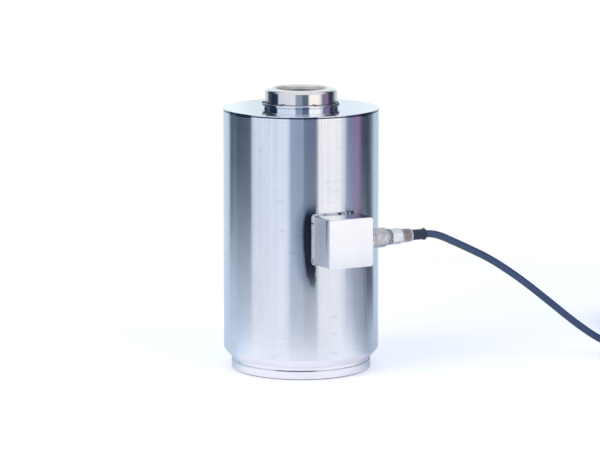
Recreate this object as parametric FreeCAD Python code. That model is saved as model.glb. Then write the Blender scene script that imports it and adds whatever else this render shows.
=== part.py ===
import FreeCAD, Part
import math
import os

# Column load cell: one turned strain-gauge column inside a welded case, with a side junction box.
# The origin is the centre of the base face. The box faces -Y and its cable leaves along +X.
# All sizes are in millimetres.

V = FreeCAD.Vector

# Case and overall sizes
CASE_DIAMETER = 101.6
CASE_WALL = 3.2
OVERALL_HEIGHT = 184.15
BOSS_RISE = 12.75

# Base of the column
BASE_HEIGHT = 13.6
BASE_RING_INSET = 5.1
BASE_RING_HEIGHT = 5.4
BASE_RING_EDGE = 0.6
BASE_GROOVE_WIDTH = 2.8
BASE_GROOVE_DEPTH = 0.8
BASE_TAPER_INSET = 4.4
SPIGOT_HEIGHT = 4.0
SPIGOT_CLEARANCE = 0.1
BOLT_COUNT = 4
BOLT_CIRCLE_DIAMETER = 63.5
BOLT_HOLE_DIAMETER = 7.94
BOLT_HOLE_DEPTH = 12.0
DRILL_POINT_SLOPE = 0.6

# Gauge column
COLUMN_DIAMETER = 42.0
COLUMN_FILLET = 6.0
FLAT_ACROSS = 34.0
FLAT_BOTTOM_GAP = 25.0
FLAT_TOP_GAP = 12.0
FLAT_RUNOUT = 6.0

# Inner diaphragm that steadies the column
STAY_SEAT_DROP = 29.4
STAY_SEAT_OVERHANG = 2.0
STAY_SEAT_LEDGE = 3.0
STAY_RIM_HEIGHT = 6.0
STAY_RIM_WIDTH = 4.6
STAY_WEB = 1.0

# Boss and load socket
BOSS_DIAMETER = 47.0
CROWN_DROP = 1.95
CROWN_FLAT_DIAMETER = 38.0
SOCKET_DIAMETER = 31.75
SOCKET_CHAMFER = 1.0
SOCKET_DEPTH = 31.0

# Top cover with its welded hub
COVER_THICKNESS = 2.15
COVER_EDGE = 0.2
COVER_GROOVE_DROP = 1.0
COVER_GROOVE_WIDTH = 0.7
COVER_GROOVE_DEPTH = 0.6
COVER_WEB = 1.2
COVER_HUB_WIDTH = 4.5
COVER_HUB_DEPTH = 0.6
COVER_LIP_WIDTH = 3.1
COVER_LIP_DEPTH = 2.4
NECK_WALL = 0.9
NECK_HEIGHT = 1.8
COLLAR_WALL = 2.1
COLLAR_HEIGHT = 1.8
COLLAR_EDGE = 0.3
COLLAR_ROUND = 0.8
HUB_SEAM = 0.55

# Junction box
BOX_SIDE = 31.5
BOX_DEPTH = 21.4
BOX_CENTRE_Z = 92.7
BOX_WALL = 2.6
BOX_CORNER = 1.4
BOX_COVER_THICKNESS = 2.4
BOX_COVER_BEVEL = 0.5
BOX_COVER_LIP = 1.5
BOX_COVER_LIP_CLEARANCE = 0.1

# Sealed wire header between case and box
HEADER_DIAMETER = 14.0
HEADER_GLASS_DIAMETER = 10.0
HEADER_INNER_STICKOUT = 1.5
HEADER_OUTER_STICKOUT = 2.6
PIN_COUNT = 4
PIN_DIAMETER = 1.0
PIN_CIRCLE_DIAMETER = 5.6
PIN_STICKOUT = 2.8

# Cable and its gland, measured outwards from the case and from the side of the box
CABLE_DIAMETER = 4.8
GLAND_SETOUT = 9.7
GLAND_THREAD_WALL = 2.3
GLAND_THREAD_CLEARANCE = 0.05
GLAND_SHANK_LENGTH = 4.2
GLAND_WASHER_THICKNESS = 1.0
GLAND_WASHER_WIDTH = 1.8
GLAND_SHOULDER_WIDTH = 0.8
GLAND_SHOULDER_LENGTH = 4.2
GLAND_HEX_WALL = 0.85
GLAND_HEX_LENGTH = 9.5
GLAND_HEX_CHAMFER = 0.9
GLAND_NECK_WALL = 1.0
GLAND_NECK_LENGTH = 1.5
GLAND_RING_WALL = 1.5
GLAND_RING_LENGTH = 0.9
GLAND_STUB_WALL = 0.7
GLAND_STUB_LENGTH = 4.7
SEAL_WALL = 0.5
SEAL_LENGTH = 9.0
NUT_GAP = 1.0
NUT_WALL = 0.9
NUT_LENGTH = 7.7
NUT_CHAMFER = 0.7
FERRULE_HEAD_LENGTH = 1.6
FERRULE_NOSE_LENGTH = 1.2
FIT_CLEARANCE = 0.05
SLEEVE_GRIP_WALL = 1.7
SLEEVE_NECK_WALL = 0.6
SLEEVE_LENGTH = 7.6
SLEEVE_EDGE = 0.4
SLEEVE_TAIL_LENGTH = 3.4
BOOT_WALL = 1.0
BOOT_LENGTH = 9.8
BOOT_LIP_RISE = 0.5
BOOT_LIP_LENGTH = 1.4
CABLE_INNER_LENGTH = 7.0

# Bridge board and its parts
BOARD_HEIGHT = 12.4
BOARD_THICKNESS = 1.6
BOARD_COLUMN_GAP = 3.0
BOARD_CASE_GAP = 5.6
STANDOFF_COUNT = 4
STANDOFF_INSET = 5.0
STANDOFF_FLATS = 5.0
SCREW_HEAD_DIAMETER = 4.6
SCREW_HEAD_HEIGHT = 1.8
SCREW_DIAMETER = 2.4
SCREW_LENGTH = 5.0
RESISTOR_LENGTH = 6.4
RESISTOR_DIAMETER = 2.4

# Strain gauges and inner wires
GAUGE_THICKNESS = 0.3
GAUGE_OFFSET = 5.6
GAUGE_LONG = 9.0
GAUGE_SHORT = 6.0
WIRE_DIAMETER = 0.8
SIGNAL_ROW_OFFSET = 1.6
CORE_STRAIGHT = 1.5
CORE_PIN_RUN = 1.8

# Free cable: after a straight run, its route from the exit, chosen by hand as steps
# along X and Y from the exit and the height of its underside above the floor
CABLE_STRAIGHT = 2.0
CABLE_ROUTE = [
    (4.9, 0.0, 90.03),
    (8.5, 0.0, 89.25),
    (13.5, -0.1, 87.4),
    (21.0, -0.1, 83.9),
    (32.3, -0.2, 78.5),
    (49.55, -0.5, 69.9),
    (72.05, -1.0, 54.9),
    (93.05, -1.4, 38.6),
    (113.05, -1.8, 22.7),
    (131.05, -2.0, 10.2),
    (146.05, -1.9, 2.9),
    (161.05, -1.4, 0.2),
    (179.05, -0.3, 0.06),
    (199.05, 0.4, 0.05),
    (217.05, 0.4, 0.05),
]

# Coil of the cable's remaining length, with its ties and its bare end
COIL_ENTRY_RUN = 27.0
COIL_MID_RADIUS = 43.2
COIL_TURNS_ACROSS = 6
COIL_TURNS_HIGH = 6
COIL_STUB_INSET = 0.9
TIE_THICKNESS = 1.0
TIE_WIDTH = 4.8
TIE_HEAD_SIZE = 6.4
TIE_HEAD_HEIGHT = 4.2
TIE_ANGLES = (20.0, 205.0)
END_START_ANGLE = 92.0
END_SWEEP_ANGLE = 46.0
LEAD_NAMES = ("red", "black", "green", "white", "shield")
LEAD_DIAMETER = 0.9
LEAD_PITCH = 0.94
LEAD_RUN = 7.0
LEAD_SPREAD = 3.0
LEAD_LEAN = -2.4
LEAD_TIP_DIAMETER = 0.5
LEAD_TIP_LENGTH = 5.0
LEAD_REST_GAP = 0.05

# Sizes that follow from the ones above
CASE_RADIUS = CASE_DIAMETER / 2
CASE_INNER_RADIUS = CASE_RADIUS - CASE_WALL
CASE_TOP_Z = OVERALL_HEIGHT - BOSS_RISE
SPIGOT_RADIUS = CASE_INNER_RADIUS - SPIGOT_CLEARANCE
SPIGOT_TOP_Z = BASE_HEIGHT + SPIGOT_HEIGHT
COVER_BOTTOM_Z = CASE_TOP_Z - COVER_THICKNESS
BOSS_RADIUS = BOSS_DIAMETER / 2
COLUMN_RADIUS = COLUMN_DIAMETER / 2
SOCKET_RADIUS = SOCKET_DIAMETER / 2
STAY_SEAT_Z = CASE_TOP_Z - STAY_SEAT_DROP
FLAT_BOTTOM_Z = SPIGOT_TOP_Z + FLAT_BOTTOM_GAP
FLAT_TOP_Z = STAY_SEAT_Z - STAY_SEAT_LEDGE - FLAT_TOP_GAP
GAUGE_CENTRE_Z = (FLAT_BOTTOM_Z + FLAT_TOP_Z) / 2
BOX_FACE_X = BOX_SIDE / 2
BOX_REACH = CASE_RADIUS + BOX_DEPTH
BOX_COVER_BACK = BOX_REACH - BOX_COVER_THICKNESS
HEADER_START = CASE_INNER_RADIUS - HEADER_INNER_STICKOUT
HEADER_END = CASE_RADIUS + HEADER_OUTER_STICKOUT
BOARD_BOTTOM_Z = SPIGOT_TOP_Z + BOARD_HEIGHT
BOARD_TOP_Z = BOARD_BOTTOM_Z + BOARD_THICKNESS
BOARD_INNER_RADIUS = COLUMN_RADIUS + BOARD_COLUMN_GAP
BOARD_OUTER_RADIUS = CASE_INNER_RADIUS - BOARD_CASE_GAP
BOARD_MID_RADIUS = (BOARD_INNER_RADIUS + BOARD_OUTER_RADIUS) / 2
WIRE_RADIUS = WIRE_DIAMETER / 2
CABLE_RADIUS = CABLE_DIAMETER / 2
GLAND_REACH = CASE_RADIUS + GLAND_SETOUT
GLAND_THREAD_RADIUS = CABLE_RADIUS + GLAND_THREAD_WALL
SEAL_RADIUS = CABLE_RADIUS + SEAL_WALL
GLAND_STUB_RADIUS = SEAL_RADIUS + GLAND_STUB_WALL
GLAND_NECK_RADIUS = GLAND_STUB_RADIUS + GLAND_NECK_WALL
GLAND_RING_RADIUS = GLAND_STUB_RADIUS + GLAND_RING_WALL
GLAND_HEX_FLATS = 2 * (GLAND_THREAD_RADIUS + GLAND_HEX_WALL)
NUT_FLATS = 2 * (GLAND_STUB_RADIUS + NUT_WALL)
SLEEVE_NECK_RADIUS = CABLE_RADIUS + SLEEVE_NECK_WALL
SLEEVE_GRIP_RADIUS = CABLE_RADIUS + SLEEVE_GRIP_WALL
BOOT_RADIUS = CABLE_RADIUS + BOOT_WALL
GLAND_SHOULDER_END = GLAND_WASHER_THICKNESS + GLAND_SHOULDER_LENGTH
GLAND_HEX_END = GLAND_SHOULDER_END + GLAND_HEX_LENGTH
GLAND_NECK_END = GLAND_HEX_END + GLAND_NECK_LENGTH
GLAND_RING_END = GLAND_NECK_END + GLAND_RING_LENGTH
GLAND_STUB_END = GLAND_RING_END + GLAND_STUB_LENGTH
SEAL_END = GLAND_STUB_END - FERRULE_NOSE_LENGTH
FERRULE_END = GLAND_STUB_END + FERRULE_HEAD_LENGTH
NUT_START = GLAND_RING_END + NUT_GAP
NUT_END = NUT_START + NUT_LENGTH
SLEEVE_END = NUT_END + SLEEVE_LENGTH
BOOT_END = SLEEVE_END + BOOT_LENGTH
CABLE_EXIT = V(BOX_FACE_X + BOOT_END, -GLAND_REACH, BOX_CENTRE_Z)
CABLE_POINTS = [CABLE_EXIT, CABLE_EXIT + V(CABLE_STRAIGHT, 0, 0)]
for step_x, step_y, height in CABLE_ROUTE:
    CABLE_POINTS.append(V(CABLE_EXIT.x + step_x, CABLE_EXIT.y + step_y, CABLE_RADIUS + height))
COIL_HALF_WIDTH = COIL_TURNS_ACROSS * CABLE_DIAMETER / 2
COIL_OUTER_RADIUS = COIL_MID_RADIUS + COIL_HALF_WIDTH
COIL_INNER_RADIUS = COIL_MID_RADIUS - COIL_HALF_WIDTH
COIL_BOTTOM_Z = TIE_THICKNESS
COIL_TOP_Z = COIL_BOTTOM_Z + COIL_TURNS_HIGH * CABLE_DIAMETER
COIL_ENTRY = CABLE_POINTS[-1]
COIL_CENTRE_X = COIL_ENTRY.x + COIL_ENTRY_RUN
COIL_CENTRE_Y = COIL_ENTRY.y + COIL_OUTER_RADIUS - CABLE_RADIUS - COIL_STUB_INSET


def save(shape, node):
    if not shape.isValid():
        raise ValueError(node + " is not a valid solid")
    shape.exportStep("parts/" + node + ".step")


def outline(steps):
    """Face in the X-Z plane; a step is a corner (r, z) or an arc (middle r, middle z, end r, end z)."""
    edges = []
    here = V(steps[0][-2], 0, steps[0][-1])
    for step in steps[1:] + steps[:1]:
        there = V(step[-2], 0, step[-1])
        if len(step) == 4:
            edges.append(Part.Arc(here, V(step[0], 0, step[1]), there).toShape())
        else:
            edges.append(Part.LineSegment(here, there).toShape())
        here = there
    return Part.Face(Part.Wire(edges))


def turned(steps):
    return outline(steps).revolve(V(0, 0, 0), V(0, 0, 1), 360)


def rod(radius, start, end):
    return Part.makeCylinder(radius, end - start, V(0, 0, start))


def sleeve(inner_radius, outer_radius, start, end):
    return rod(outer_radius, start, end).cut(rod(inner_radius, start, end))


def block(size_x, size_y, size_z, centre_x, centre_y, centre_z):
    corner = V(centre_x - size_x / 2, centre_y - size_y / 2, centre_z - size_z / 2)
    return Part.makeBox(size_x, size_y, size_z, corner)


def hex_prism(across_flats, start, end):
    corner_radius = across_flats / 2 / math.cos(math.pi / 6)
    angles = [math.radians(60 * k) for k in range(7)]
    points = [V(corner_radius * math.cos(a), corner_radius * math.sin(a), start) for a in angles]
    return Part.Face(Part.makePolygon(points)).extrude(V(0, 0, end - start))


def chamfered_hex(across_flats, start, end, chamfer):
    """Hexagon whose outer corners are turned off at the far end."""
    corner_radius = across_flats / 2 / math.cos(math.pi / 6)
    turned_blank = turned([
        (0, start),
        (corner_radius, start),
        (corner_radius, end - chamfer),
        (corner_radius - 2 * chamfer, end),
        (0, end),
    ])
    return hex_prism(across_flats, start, end).common(turned_blank)


def around_axis(shape, count, first_angle=0.0):
    copies = []
    for k in range(count):
        copy = shape.copy()
        copy.rotate(V(0, 0, 0), V(0, 0, 1), first_angle + 360.0 * k / count)
        copies.append(copy)
    return copies


def on_gland_axis(shape):
    """Turn a piece built along +Z onto the gland's axis, from the side of the box outwards."""
    placed = shape.copy()
    placed.rotate(V(0, 0, 0), V(0, 1, 0), 90)
    placed.translate(V(BOX_FACE_X, -GLAND_REACH, BOX_CENTRE_Z))
    return placed


def on_header_axis(shape):
    """Turn a piece built along +Z onto the header's axis, from the column's axis outwards."""
    placed = shape.copy()
    placed.rotate(V(0, 0, 0), V(1, 0, 0), 90)
    placed.translate(V(0, 0, BOX_CENTRE_Z))
    return placed


def bent_tube(points, radius, label=None):
    """Round tube along straight runs joined by tangent arcs as large as the runs allow."""
    corners = [V(point) for point in points]
    edges = []
    here = corners[0]
    radii = []
    for before, corner, after in zip(corners, corners[1:], corners[2:]):
        arriving = (corner - before).normalize()
        leaving = (after - corner).normalize()
        setback = 0.45 * min(before.distanceToPoint(corner), corner.distanceToPoint(after))
        half_turn = arriving.getAngle(leaving) / 2
        bend = setback / math.tan(half_turn)
        radii.append(bend)
        arc_start = corner - arriving * setback
        arc_end = corner + leaving * setback
        inward = (leaving - arriving).normalize()
        arc_middle = corner + inward * (bend / math.cos(half_turn) - bend)
        edges.append(Part.LineSegment(here, arc_start).toShape())
        edges.append(Part.Arc(arc_start, arc_middle, arc_end).toShape())
        here = arc_end
    edges.append(Part.LineSegment(here, corners[-1]).toShape())
    path = Part.Wire(edges)
    section = Part.Wire(Part.makeCircle(radius, corners[0], corners[1] - corners[0]))
    tube = path.makePipeShell([section], True, True)
    if label:
        print(label, "bend radii", [round(bend, 1) for bend in radii])
        print(label, "volume / (section x length)", tube.Volume / (math.pi * radius ** 2 * path.Length))
    return tube


# Turned column: base, gauge section and boss in one piece
def spring_element():
    ring_radius = CASE_RADIUS - BASE_RING_INSET
    groove_radius = ring_radius - BASE_GROOVE_DEPTH
    groove_top = BASE_RING_HEIGHT + BASE_GROOVE_WIDTH
    fillet_middle = COLUMN_FILLET * (1 - math.sqrt(0.5))
    seat_radius = BOSS_RADIUS + STAY_SEAT_OVERHANG
    ledge_z = STAY_SEAT_Z - STAY_SEAT_LEDGE
    crown_start = OVERALL_HEIGHT - CROWN_DROP
    crown_flat = CROWN_FLAT_DIAMETER / 2
    crown_run = BOSS_RADIUS - crown_flat
    crown_radius = (crown_run ** 2 + CROWN_DROP ** 2) / (2 * CROWN_DROP)
    crown_half = math.asin(crown_run / crown_radius) / 2
    crown_middle_r = crown_flat + crown_radius * math.sin(crown_half)
    crown_middle_z = OVERALL_HEIGHT - crown_radius * (1 - math.cos(crown_half))
    socket_bottom = OVERALL_HEIGHT - SOCKET_DEPTH
    blank = turned([
        (0, 0),
        (ring_radius - BASE_RING_EDGE, 0),
        (ring_radius, BASE_RING_EDGE),
        (ring_radius, BASE_RING_HEIGHT),
        (groove_radius, BASE_RING_HEIGHT),
        (groove_radius, groove_top),
        (CASE_RADIUS - BASE_TAPER_INSET, groove_top),
        (CASE_RADIUS, BASE_HEIGHT),
        (SPIGOT_RADIUS, BASE_HEIGHT),
        (SPIGOT_RADIUS, SPIGOT_TOP_Z),
        (COLUMN_RADIUS + COLUMN_FILLET, SPIGOT_TOP_Z),
        (COLUMN_RADIUS + fillet_middle, SPIGOT_TOP_Z + fillet_middle,
         COLUMN_RADIUS, SPIGOT_TOP_Z + COLUMN_FILLET),
        (COLUMN_RADIUS, ledge_z - (seat_radius - COLUMN_RADIUS)),
        (seat_radius, ledge_z),
        (seat_radius, STAY_SEAT_Z),
        (BOSS_RADIUS, STAY_SEAT_Z),
        (BOSS_RADIUS, crown_start),
        (crown_middle_r, crown_middle_z, crown_flat, OVERALL_HEIGHT),
        (SOCKET_RADIUS + SOCKET_CHAMFER, OVERALL_HEIGHT),
        (SOCKET_RADIUS, OVERALL_HEIGHT - SOCKET_CHAMFER),
        (SOCKET_RADIUS, socket_bottom),
        (0, socket_bottom - SOCKET_RADIUS * DRILL_POINT_SLOPE),
    ])
    for cutter in around_axis(flat_cutter(), 4):
        blank = blank.cut(cutter)
    for hole in around_axis(bolt_hole(), BOLT_COUNT, 180.0 / BOLT_COUNT):
        blank = blank.cut(hole)
    return blank


def flat_cutter():
    """Milling cut for one gauge flat, with a rounded run-out at each end."""
    flat = FLAT_ACROSS / 2
    outside = COLUMN_DIAMETER
    runout_middle = FLAT_RUNOUT * (1 - math.sqrt(0.5))
    profile = outline([
        (flat + FLAT_RUNOUT, FLAT_BOTTOM_Z),
        (flat + runout_middle, FLAT_BOTTOM_Z + runout_middle, flat, FLAT_BOTTOM_Z + FLAT_RUNOUT),
        (flat, FLAT_TOP_Z - FLAT_RUNOUT),
        (flat + runout_middle, FLAT_TOP_Z - runout_middle, flat + FLAT_RUNOUT, FLAT_TOP_Z),
        (outside, FLAT_TOP_Z),
        (outside, FLAT_BOTTOM_Z),
    ])
    profile.translate(V(0, -COLUMN_DIAMETER / 2, 0))
    return profile.extrude(V(0, COLUMN_DIAMETER, 0))


def bolt_hole():
    radius = BOLT_HOLE_DIAMETER / 2
    hole = turned([
        (0, 0),
        (radius, 0),
        (radius, BOLT_HOLE_DEPTH),
        (0, BOLT_HOLE_DEPTH + radius * DRILL_POINT_SLOPE),
    ])
    hole.translate(V(BOLT_CIRCLE_DIAMETER / 2, 0, 0))
    return hole


# Case
def case_tube():
    tube = turned([
        (CASE_INNER_RADIUS, BASE_HEIGHT),
        (CASE_RADIUS, BASE_HEIGHT),
        (CASE_RADIUS, COVER_BOTTOM_Z),
        (CASE_INNER_RADIUS, COVER_BOTTOM_Z),
    ])
    return tube.cut(on_header_axis(rod(HEADER_DIAMETER / 2, 0, CASE_DIAMETER)))


def top_cover():
    """Cover plate with a thin web and a hub that is welded to the boss below a raised collar."""
    hub_radius = BOSS_RADIUS + COVER_HUB_WIDTH
    lip_inner = SPIGOT_RADIUS - COVER_LIP_WIDTH
    lip_bottom = COVER_BOTTOM_Z - COVER_LIP_DEPTH
    web_bottom = CASE_TOP_Z - COVER_WEB
    hub_bottom = COVER_BOTTOM_Z - COVER_HUB_DEPTH
    neck_radius = BOSS_RADIUS + NECK_WALL
    collar_radius = BOSS_RADIUS + COLLAR_WALL
    collar_bottom = CASE_TOP_Z + NECK_HEIGHT
    collar_top = collar_bottom + COLLAR_HEIGHT
    groove_z = CASE_TOP_Z - COVER_GROOVE_DROP
    round_middle = COLLAR_ROUND * (1 - math.sqrt(0.5))
    return turned([
        (BOSS_RADIUS, hub_bottom),
        (hub_radius, hub_bottom),
        (hub_radius, web_bottom),
        (lip_inner, web_bottom),
        (lip_inner, lip_bottom),
        (SPIGOT_RADIUS, lip_bottom),
        (SPIGOT_RADIUS, COVER_BOTTOM_Z),
        (CASE_RADIUS, COVER_BOTTOM_Z),
        (CASE_RADIUS, groove_z - COVER_GROOVE_WIDTH / 2),
        (CASE_RADIUS - COVER_GROOVE_DEPTH, groove_z),
        (CASE_RADIUS, groove_z + COVER_GROOVE_WIDTH / 2),
        (CASE_RADIUS, CASE_TOP_Z - COVER_EDGE),
        (CASE_RADIUS - COVER_EDGE, CASE_TOP_Z),
        (neck_radius, CASE_TOP_Z),
        (neck_radius, collar_bottom),
        (collar_radius - COLLAR_EDGE, collar_bottom),
        (collar_radius, collar_bottom + COLLAR_EDGE),
        (collar_radius, collar_top - COLLAR_ROUND),
        (collar_radius - round_middle, collar_top - round_middle, collar_radius - COLLAR_ROUND, collar_top),
        (BOSS_RADIUS + HUB_SEAM, collar_top),
        (BOSS_RADIUS, collar_top - HUB_SEAM),
    ])


def stay_diaphragm():
    rim_top = STAY_SEAT_Z + STAY_RIM_HEIGHT
    web_bottom = STAY_SEAT_Z + (STAY_RIM_HEIGHT - STAY_WEB) / 2
    web_top = web_bottom + STAY_WEB
    hub_radius = BOSS_RADIUS + STAY_RIM_WIDTH
    rim_radius = CASE_INNER_RADIUS - STAY_RIM_WIDTH
    return turned([
        (BOSS_RADIUS, STAY_SEAT_Z),
        (hub_radius, STAY_SEAT_Z),
        (hub_radius, web_bottom),
        (rim_radius, web_bottom),
        (rim_radius, STAY_SEAT_Z),
        (CASE_INNER_RADIUS, STAY_SEAT_Z),
        (CASE_INNER_RADIUS, rim_top),
        (rim_radius, rim_top),
        (rim_radius, web_top),
        (hub_radius, web_top),
        (hub_radius, rim_top),
        (BOSS_RADIUS, rim_top),
    ])


# Junction box
def box_shell(side, front, corner=0.0):
    """Square bar from the column's axis towards the front, with rounded long edges."""
    bar = block(side, front, side, 0, -front / 2, BOX_CENTRE_Z)
    if corner:
        bar = bar.makeFillet(corner, [edge for edge in bar.Edges if abs(edge.tangentAt(0).y) > 0.9])
    return bar


def junction_box():
    cavity_side = BOX_SIDE - 2 * BOX_WALL
    body = box_shell(BOX_SIDE, BOX_COVER_BACK, BOX_CORNER)
    body = body.cut(box_shell(cavity_side, BOX_COVER_BACK))
    body = body.cut(rod(CASE_RADIUS, 0, CASE_TOP_Z))
    hole_radius = GLAND_THREAD_RADIUS + GLAND_THREAD_CLEARANCE
    return body.cut(on_gland_axis(rod(hole_radius, -BOX_SIDE / 2, BOX_WALL)))


def box_cover():
    plate = box_shell(BOX_SIDE, BOX_REACH, BOX_CORNER)
    front_edges = [edge for edge in plate.Edges if edge.CenterOfMass.y < -BOX_REACH + 0.01]
    plate = plate.makeChamfer(BOX_COVER_BEVEL, front_edges)
    plate = plate.cut(box_shell(2 * BOX_SIDE, BOX_COVER_BACK))
    lip_side = BOX_SIDE - 2 * BOX_WALL - 2 * BOX_COVER_LIP_CLEARANCE
    lip = box_shell(lip_side, BOX_COVER_BACK)
    lip = lip.cut(box_shell(2 * BOX_SIDE, BOX_COVER_BACK - BOX_COVER_LIP))
    return plate.fuse(lip).removeSplitter()


# Header with glass-sealed pins through the wall of the case
def header_pin(start, end):
    pin = rod(PIN_DIAMETER / 2, start, end)
    pin.translate(V(PIN_CIRCLE_DIAMETER / 2, 0, 0))
    return around_axis(pin, PIN_COUNT, 180.0 / PIN_COUNT)


def pin_places():
    """X and Z of each header pin."""
    angles = [math.radians(180.0 / PIN_COUNT + 360.0 * k / PIN_COUNT) for k in range(PIN_COUNT)]
    radius = PIN_CIRCLE_DIAMETER / 2
    return [(radius * math.cos(a), BOX_CENTRE_Z + radius * math.sin(a)) for a in angles]


def header_ring():
    return on_header_axis(sleeve(HEADER_GLASS_DIAMETER / 2, HEADER_DIAMETER / 2, HEADER_START, HEADER_END))


def header_glass():
    glass = rod(HEADER_GLASS_DIAMETER / 2, HEADER_START, HEADER_END)
    for pin in header_pin(HEADER_START, HEADER_END):
        glass = glass.cut(pin)
    return on_header_axis(glass)


def header_pins():
    pins = header_pin(HEADER_START - PIN_STICKOUT, HEADER_END + PIN_STICKOUT)
    return Part.makeCompound([on_header_axis(pin) for pin in pins])


# Cable gland
def gland_washer():
    washer_radius = GLAND_THREAD_RADIUS + GLAND_WASHER_WIDTH
    return on_gland_axis(sleeve(GLAND_THREAD_RADIUS, washer_radius, 0, GLAND_WASHER_THICKNESS))


def gland_body():
    shoulder_radius = GLAND_THREAD_RADIUS + GLAND_SHOULDER_WIDTH
    body = rod(GLAND_THREAD_RADIUS, -GLAND_SHANK_LENGTH, GLAND_WASHER_THICKNESS)
    body = body.fuse(rod(shoulder_radius, GLAND_WASHER_THICKNESS, GLAND_SHOULDER_END))
    body = body.fuse(chamfered_hex(GLAND_HEX_FLATS, GLAND_SHOULDER_END, GLAND_HEX_END, GLAND_HEX_CHAMFER))
    body = body.fuse(rod(GLAND_NECK_RADIUS, GLAND_HEX_END, GLAND_NECK_END))
    body = body.fuse(rod(GLAND_RING_RADIUS, GLAND_NECK_END, GLAND_RING_END))
    body = body.fuse(rod(GLAND_STUB_RADIUS, GLAND_RING_END, GLAND_STUB_END))
    body = body.cut(rod(CABLE_RADIUS + FIT_CLEARANCE, -GLAND_SHANK_LENGTH, GLAND_STUB_END))
    body = body.cut(rod(SEAL_RADIUS, SEAL_END - SEAL_LENGTH, GLAND_STUB_END))
    return on_gland_axis(body.removeSplitter())


def gland_seal():
    return on_gland_axis(sleeve(CABLE_RADIUS, SEAL_RADIUS, SEAL_END - SEAL_LENGTH, SEAL_END))


def gland_ferrule():
    """Ring that the nut presses onto the seal: a nose in the stub and a head against its end."""
    bore = CABLE_RADIUS + FIT_CLEARANCE
    nose = sleeve(bore, SEAL_RADIUS - FIT_CLEARANCE, SEAL_END, GLAND_STUB_END)
    head = sleeve(bore, GLAND_STUB_RADIUS, GLAND_STUB_END, FERRULE_END)
    return on_gland_axis(nose.fuse(head).removeSplitter())


def gland_nut():
    nut = chamfered_hex(NUT_FLATS, NUT_START, NUT_END, NUT_CHAMFER)
    nut = nut.cut(rod(GLAND_STUB_RADIUS + FIT_CLEARANCE, NUT_START, FERRULE_END))
    return on_gland_axis(nut.cut(rod(SLEEVE_NECK_RADIUS + FIT_CLEARANCE, NUT_START, NUT_END)))


def strain_relief_sleeve():
    """Sleeve between nut and boot: a neck into the nut, a wide grip and a tail under the boot."""
    bore = CABLE_RADIUS + FIT_CLEARANCE
    return on_gland_axis(turned([
        (bore, FERRULE_END),
        (SLEEVE_NECK_RADIUS, FERRULE_END),
        (SLEEVE_NECK_RADIUS, NUT_END),
        (SLEEVE_GRIP_RADIUS - SLEEVE_EDGE, NUT_END),
        (SLEEVE_GRIP_RADIUS, NUT_END + SLEEVE_EDGE),
        (SLEEVE_GRIP_RADIUS, SLEEVE_END - SLEEVE_EDGE),
        (SLEEVE_GRIP_RADIUS - SLEEVE_EDGE, SLEEVE_END),
        (SLEEVE_NECK_RADIUS, SLEEVE_END),
        (SLEEVE_NECK_RADIUS, SLEEVE_END + SLEEVE_TAIL_LENGTH),
        (bore, SLEEVE_END + SLEEVE_TAIL_LENGTH),
    ]))


def cable_boot():
    """Shrunk boot over the sleeve's tail and the cable, with a rolled lip at its free end."""
    tail_end = SLEEVE_END + SLEEVE_TAIL_LENGTH
    lip_start = BOOT_END - BOOT_LIP_LENGTH
    return on_gland_axis(turned([
        (SLEEVE_NECK_RADIUS, SLEEVE_END),
        (BOOT_RADIUS, SLEEVE_END),
        (BOOT_RADIUS, lip_start),
        (BOOT_RADIUS + BOOT_LIP_RISE, (lip_start + BOOT_END) / 2, BOOT_RADIUS, BOOT_END),
        (CABLE_RADIUS, BOOT_END),
        (CABLE_RADIUS, tail_end),
        (SLEEVE_NECK_RADIUS, tail_end),
    ]))


def cable_inner_end():
    return on_gland_axis(rod(CABLE_RADIUS, -CABLE_INNER_LENGTH, BOOT_END))


# Wires
def core_leads():
    """Cores from the cable's end inside the box to the header's pins."""
    cores = []
    start_x = BOX_FACE_X - CABLE_INNER_LENGTH
    pin_tip_y = -HEADER_END - PIN_STICKOUT
    for pin_x, pin_z in pin_places():
        spread_z = (pin_z - BOX_CENTRE_Z) / 2
        spread_y = math.copysign(PIN_DIAMETER, pin_x)
        cores.append(bent_tube([
            (start_x, -GLAND_REACH + spread_y, BOX_CENTRE_Z + spread_z),
            (start_x - CORE_STRAIGHT, -GLAND_REACH + spread_y, BOX_CENTRE_Z + spread_z),
            (pin_x, pin_tip_y - CORE_PIN_RUN, pin_z),
            (pin_x, pin_tip_y, pin_z),
        ], WIRE_RADIUS))
    return Part.makeCompound(cores)


def signal_wires():
    """Wires from the header's inner pins down to the bridge board."""
    wires = []
    pin_tip_y = -HEADER_START + PIN_STICKOUT
    for pin_x, pin_z in pin_places():
        drop_y = -BOARD_MID_RADIUS + math.copysign(SIGNAL_ROW_OFFSET, pin_z - BOX_CENTRE_Z)
        wires.append(bent_tube([
            (pin_x, pin_tip_y, pin_z),
            (pin_x, drop_y, pin_z),
            (2 * pin_x, drop_y, BOX_CENTRE_Z - HEADER_DIAMETER),
            (2 * pin_x, drop_y, BOARD_TOP_Z),
        ], WIRE_RADIUS))
    return Part.makeCompound(wires)


def gauge_wires():
    """Pair of wires from the two gauges on one flat to the bridge board."""
    flat = FLAT_ACROSS / 2
    near = flat + GAUGE_THICKNESS / 2
    board_x = BOARD_INNER_RADIUS + 4 * WIRE_DIAMETER
    wires = []
    for side, gauge_half in ((-1, GAUGE_LONG / 2), (1, GAUGE_SHORT / 2)):
        gauge_bottom = GAUGE_CENTRE_Z - gauge_half
        offset = side * GAUGE_OFFSET
        wires.append(bent_tube([
            (flat + WIRE_RADIUS + FIT_CLEARANCE, offset, gauge_bottom),
            (flat + WIRE_RADIUS + FIT_CLEARANCE, offset, FLAT_BOTTOM_Z + 2 * FLAT_RUNOUT),
            (board_x, offset, FLAT_BOTTOM_Z - near / 4),
            (board_x, offset, BOARD_TOP_Z),
        ], WIRE_RADIUS))
    return Part.makeCompound(wires)


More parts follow.
